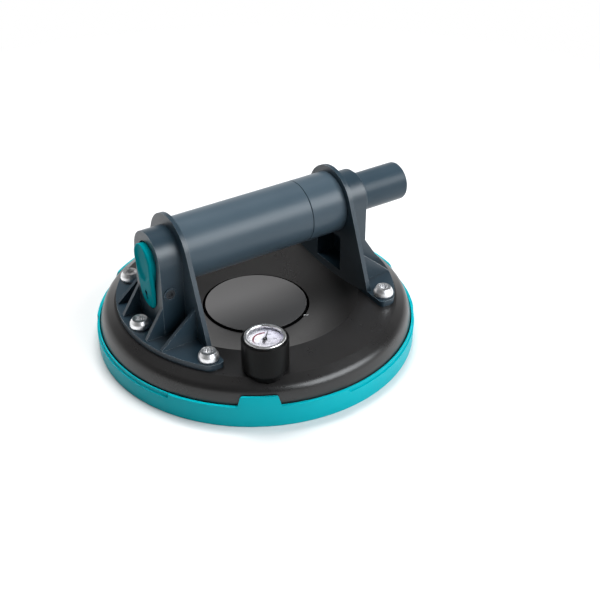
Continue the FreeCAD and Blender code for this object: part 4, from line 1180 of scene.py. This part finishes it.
# %% [markdown]
# ## Floor and room
# The lifter stands on a plain white floor that runs out of sight. Near it, the floor is lit like
# any other pale surface, which is what carries the object's shadow. Further off it turns into
# evenly white paper, because a lamp's light falls off with distance and would leave grey bands.
# Only the eye, mirrors and glass see that paper: the light that the floor spreads is plainer and
# dimmer, so a white background puts no extra light on the object. The room does the same. It is
# white near the horizon, and above that mostly bright on the far side, as in a white cloth tent.

# %% What is seen, and what only lights the object
def seen_directly(finish):
    """1 for what the eye, a mirror or glass sees, and 0 for the light that things spread."""
    eye = finish.node("ShaderNodeLightPath", output="Is Camera Ray")
    mirror = finish.node("ShaderNodeLightPath", output="Is Glossy Ray")
    glass = finish.node("ShaderNodeLightPath", output="Is Transmission Ray")
    return (eye + mirror + glass).clamp()


print("helper ready:", seen_directly.__name__)

# %% Floor
FLOOR_HALF, CONTACT_REACH = 6.0, 0.3        # metres; within the second, the lamps' light shows
PAPER_WHITE = (1.0, 1.0, 1.0, 1.0)


def floor_paper():
    finish = new_finish("floor_paper")
    matt = finish.node("ShaderNodeBsdfDiffuse", None, {"Color": tint(196, 196, 196)})
    white = finish.node("ShaderNodeBsdfDiffuse", None, {"Color": tint(228, 228, 228)})
    glow = finish.node("ShaderNodeEmission", None, {"Color": PAPER_WHITE, "Strength": 0.04})
    lit = finish.node("ShaderNodeAddShader", None, {0: white, 1: glow})
    away = finish.node("ShaderNodeVectorMath", {"operation": "LENGTH"}, {0: finish.place()}, output=1)
    paper = finish.node("ShaderNodeEmission", None, {"Color": PAPER_WHITE, "Strength": 1.0})
    far = finish.ramp(away, [(CONTACT_REACH, 0.0), (2 * CONTACT_REACH, 1.0)])
    return finish.close(finish.blend(seen_directly(finish), matt, finish.blend(far, lit, paper)))


mesh = bpy.data.meshes.new("floor")
mesh.from_pydata([(side * FLOOR_HALF, back * FLOOR_HALF, 0) for side, back in
                  ((-1, -1), (1, -1), (1, 1), (-1, 1))], [], [(0, 1, 2, 3)])
mesh.materials.append(floor_paper())
floor = add_object("floor", mesh)
floor.parent = frame["bodies"]["cover"]
print("floor is", floor.dimensions.x, "m wide")

# %% Room
def room():
    world = bpy.data.worlds.new("white_tent")
    scene.world = world
    finish = Finish(world)
    direction = finish.node("ShaderNodeTexCoord", output="Generated")
    height = finish.node("ShaderNodeSeparateXYZ", None, {0: direction}, output=2)
    depth = finish.node("ShaderNodeSeparateXYZ", None, {0: direction}, output=1)
    tall = finish.ramp(height, [(0.0, 1.0), (0.18, 1.0), (0.36, 0.45), (0.52, 0.2), (0.66, 0.2),
                                (0.85, 0.5)])
    behind = finish.ramp(depth * 0.5 + 0.5, [(0.4, 0.18), (0.85, 1.0)])
    low = finish.ramp(height * -1.0, [(0.0, 0.0), (0.02, 1.0)])
    horizon = finish.ramp(height, [(0.1, 1.0), (0.2, 0.0)])
    walls = (tall * behind + horizon + low).clamp()
    shown = finish.node("ShaderNodeBackground", None, {"Color": walls, "Strength": 1.0})
    spread = finish.node("ShaderNodeBackground", None, {
        "Color": (0.94, 0.97, 1.0, 1.0), "Strength": 0.12})
    finish.node("ShaderNodeOutputWorld", None, {
        "Surface": finish.blend(seen_directly(finish), spread, shown)})


room()
print("the room is called", scene.world.name)

# %% [markdown]
# ## Lamps
# Two softboxes do the lighting, because small lamps would leave hard shadows and pinpoints on the
# satin plastic. The key stands in front, on the gauge's side, and is faintly blue. The other hangs
# overhead and a little behind, and is kept out of reflections, where it would wash out the disc.

# %% Lamps
AIM = Vector((0, 0, 0.05))                  # the middle of the object


def soft_lamp(name, direction, distance, width, height, watts):
    """A softbox in some direction and at a distance in metres, which looks at the middle."""
    lamp = bpy.data.lights.new(name, "AREA")
    lamp.shape = "RECTANGLE"
    lamp.size, lamp.size_y, lamp.energy = width, height, watts
    holder = add_object(name, lamp)
    away = Vector(direction).normalized()
    holder.location = AIM + away * distance
    look_along(holder, -away)
    return holder


key = soft_lamp("key_box", (0.4, -0.72, 0.55), 1.5, 1.4, 0.8, 26)
key.data.color = (0.93, 0.97, 1.0)
overhead = soft_lamp("overhead_box", (0.1, 0.4, 0.9), 1.4, 1.1, 0.7, 26)
overhead.visible_glossy = False

# %% [markdown]
# ## Sizes
# A dressed part has to stay as large as the mechanical model, or it would no longer fit its use.
# The eye misses a millimetre; the mechanical model's overall size is printed near the start.
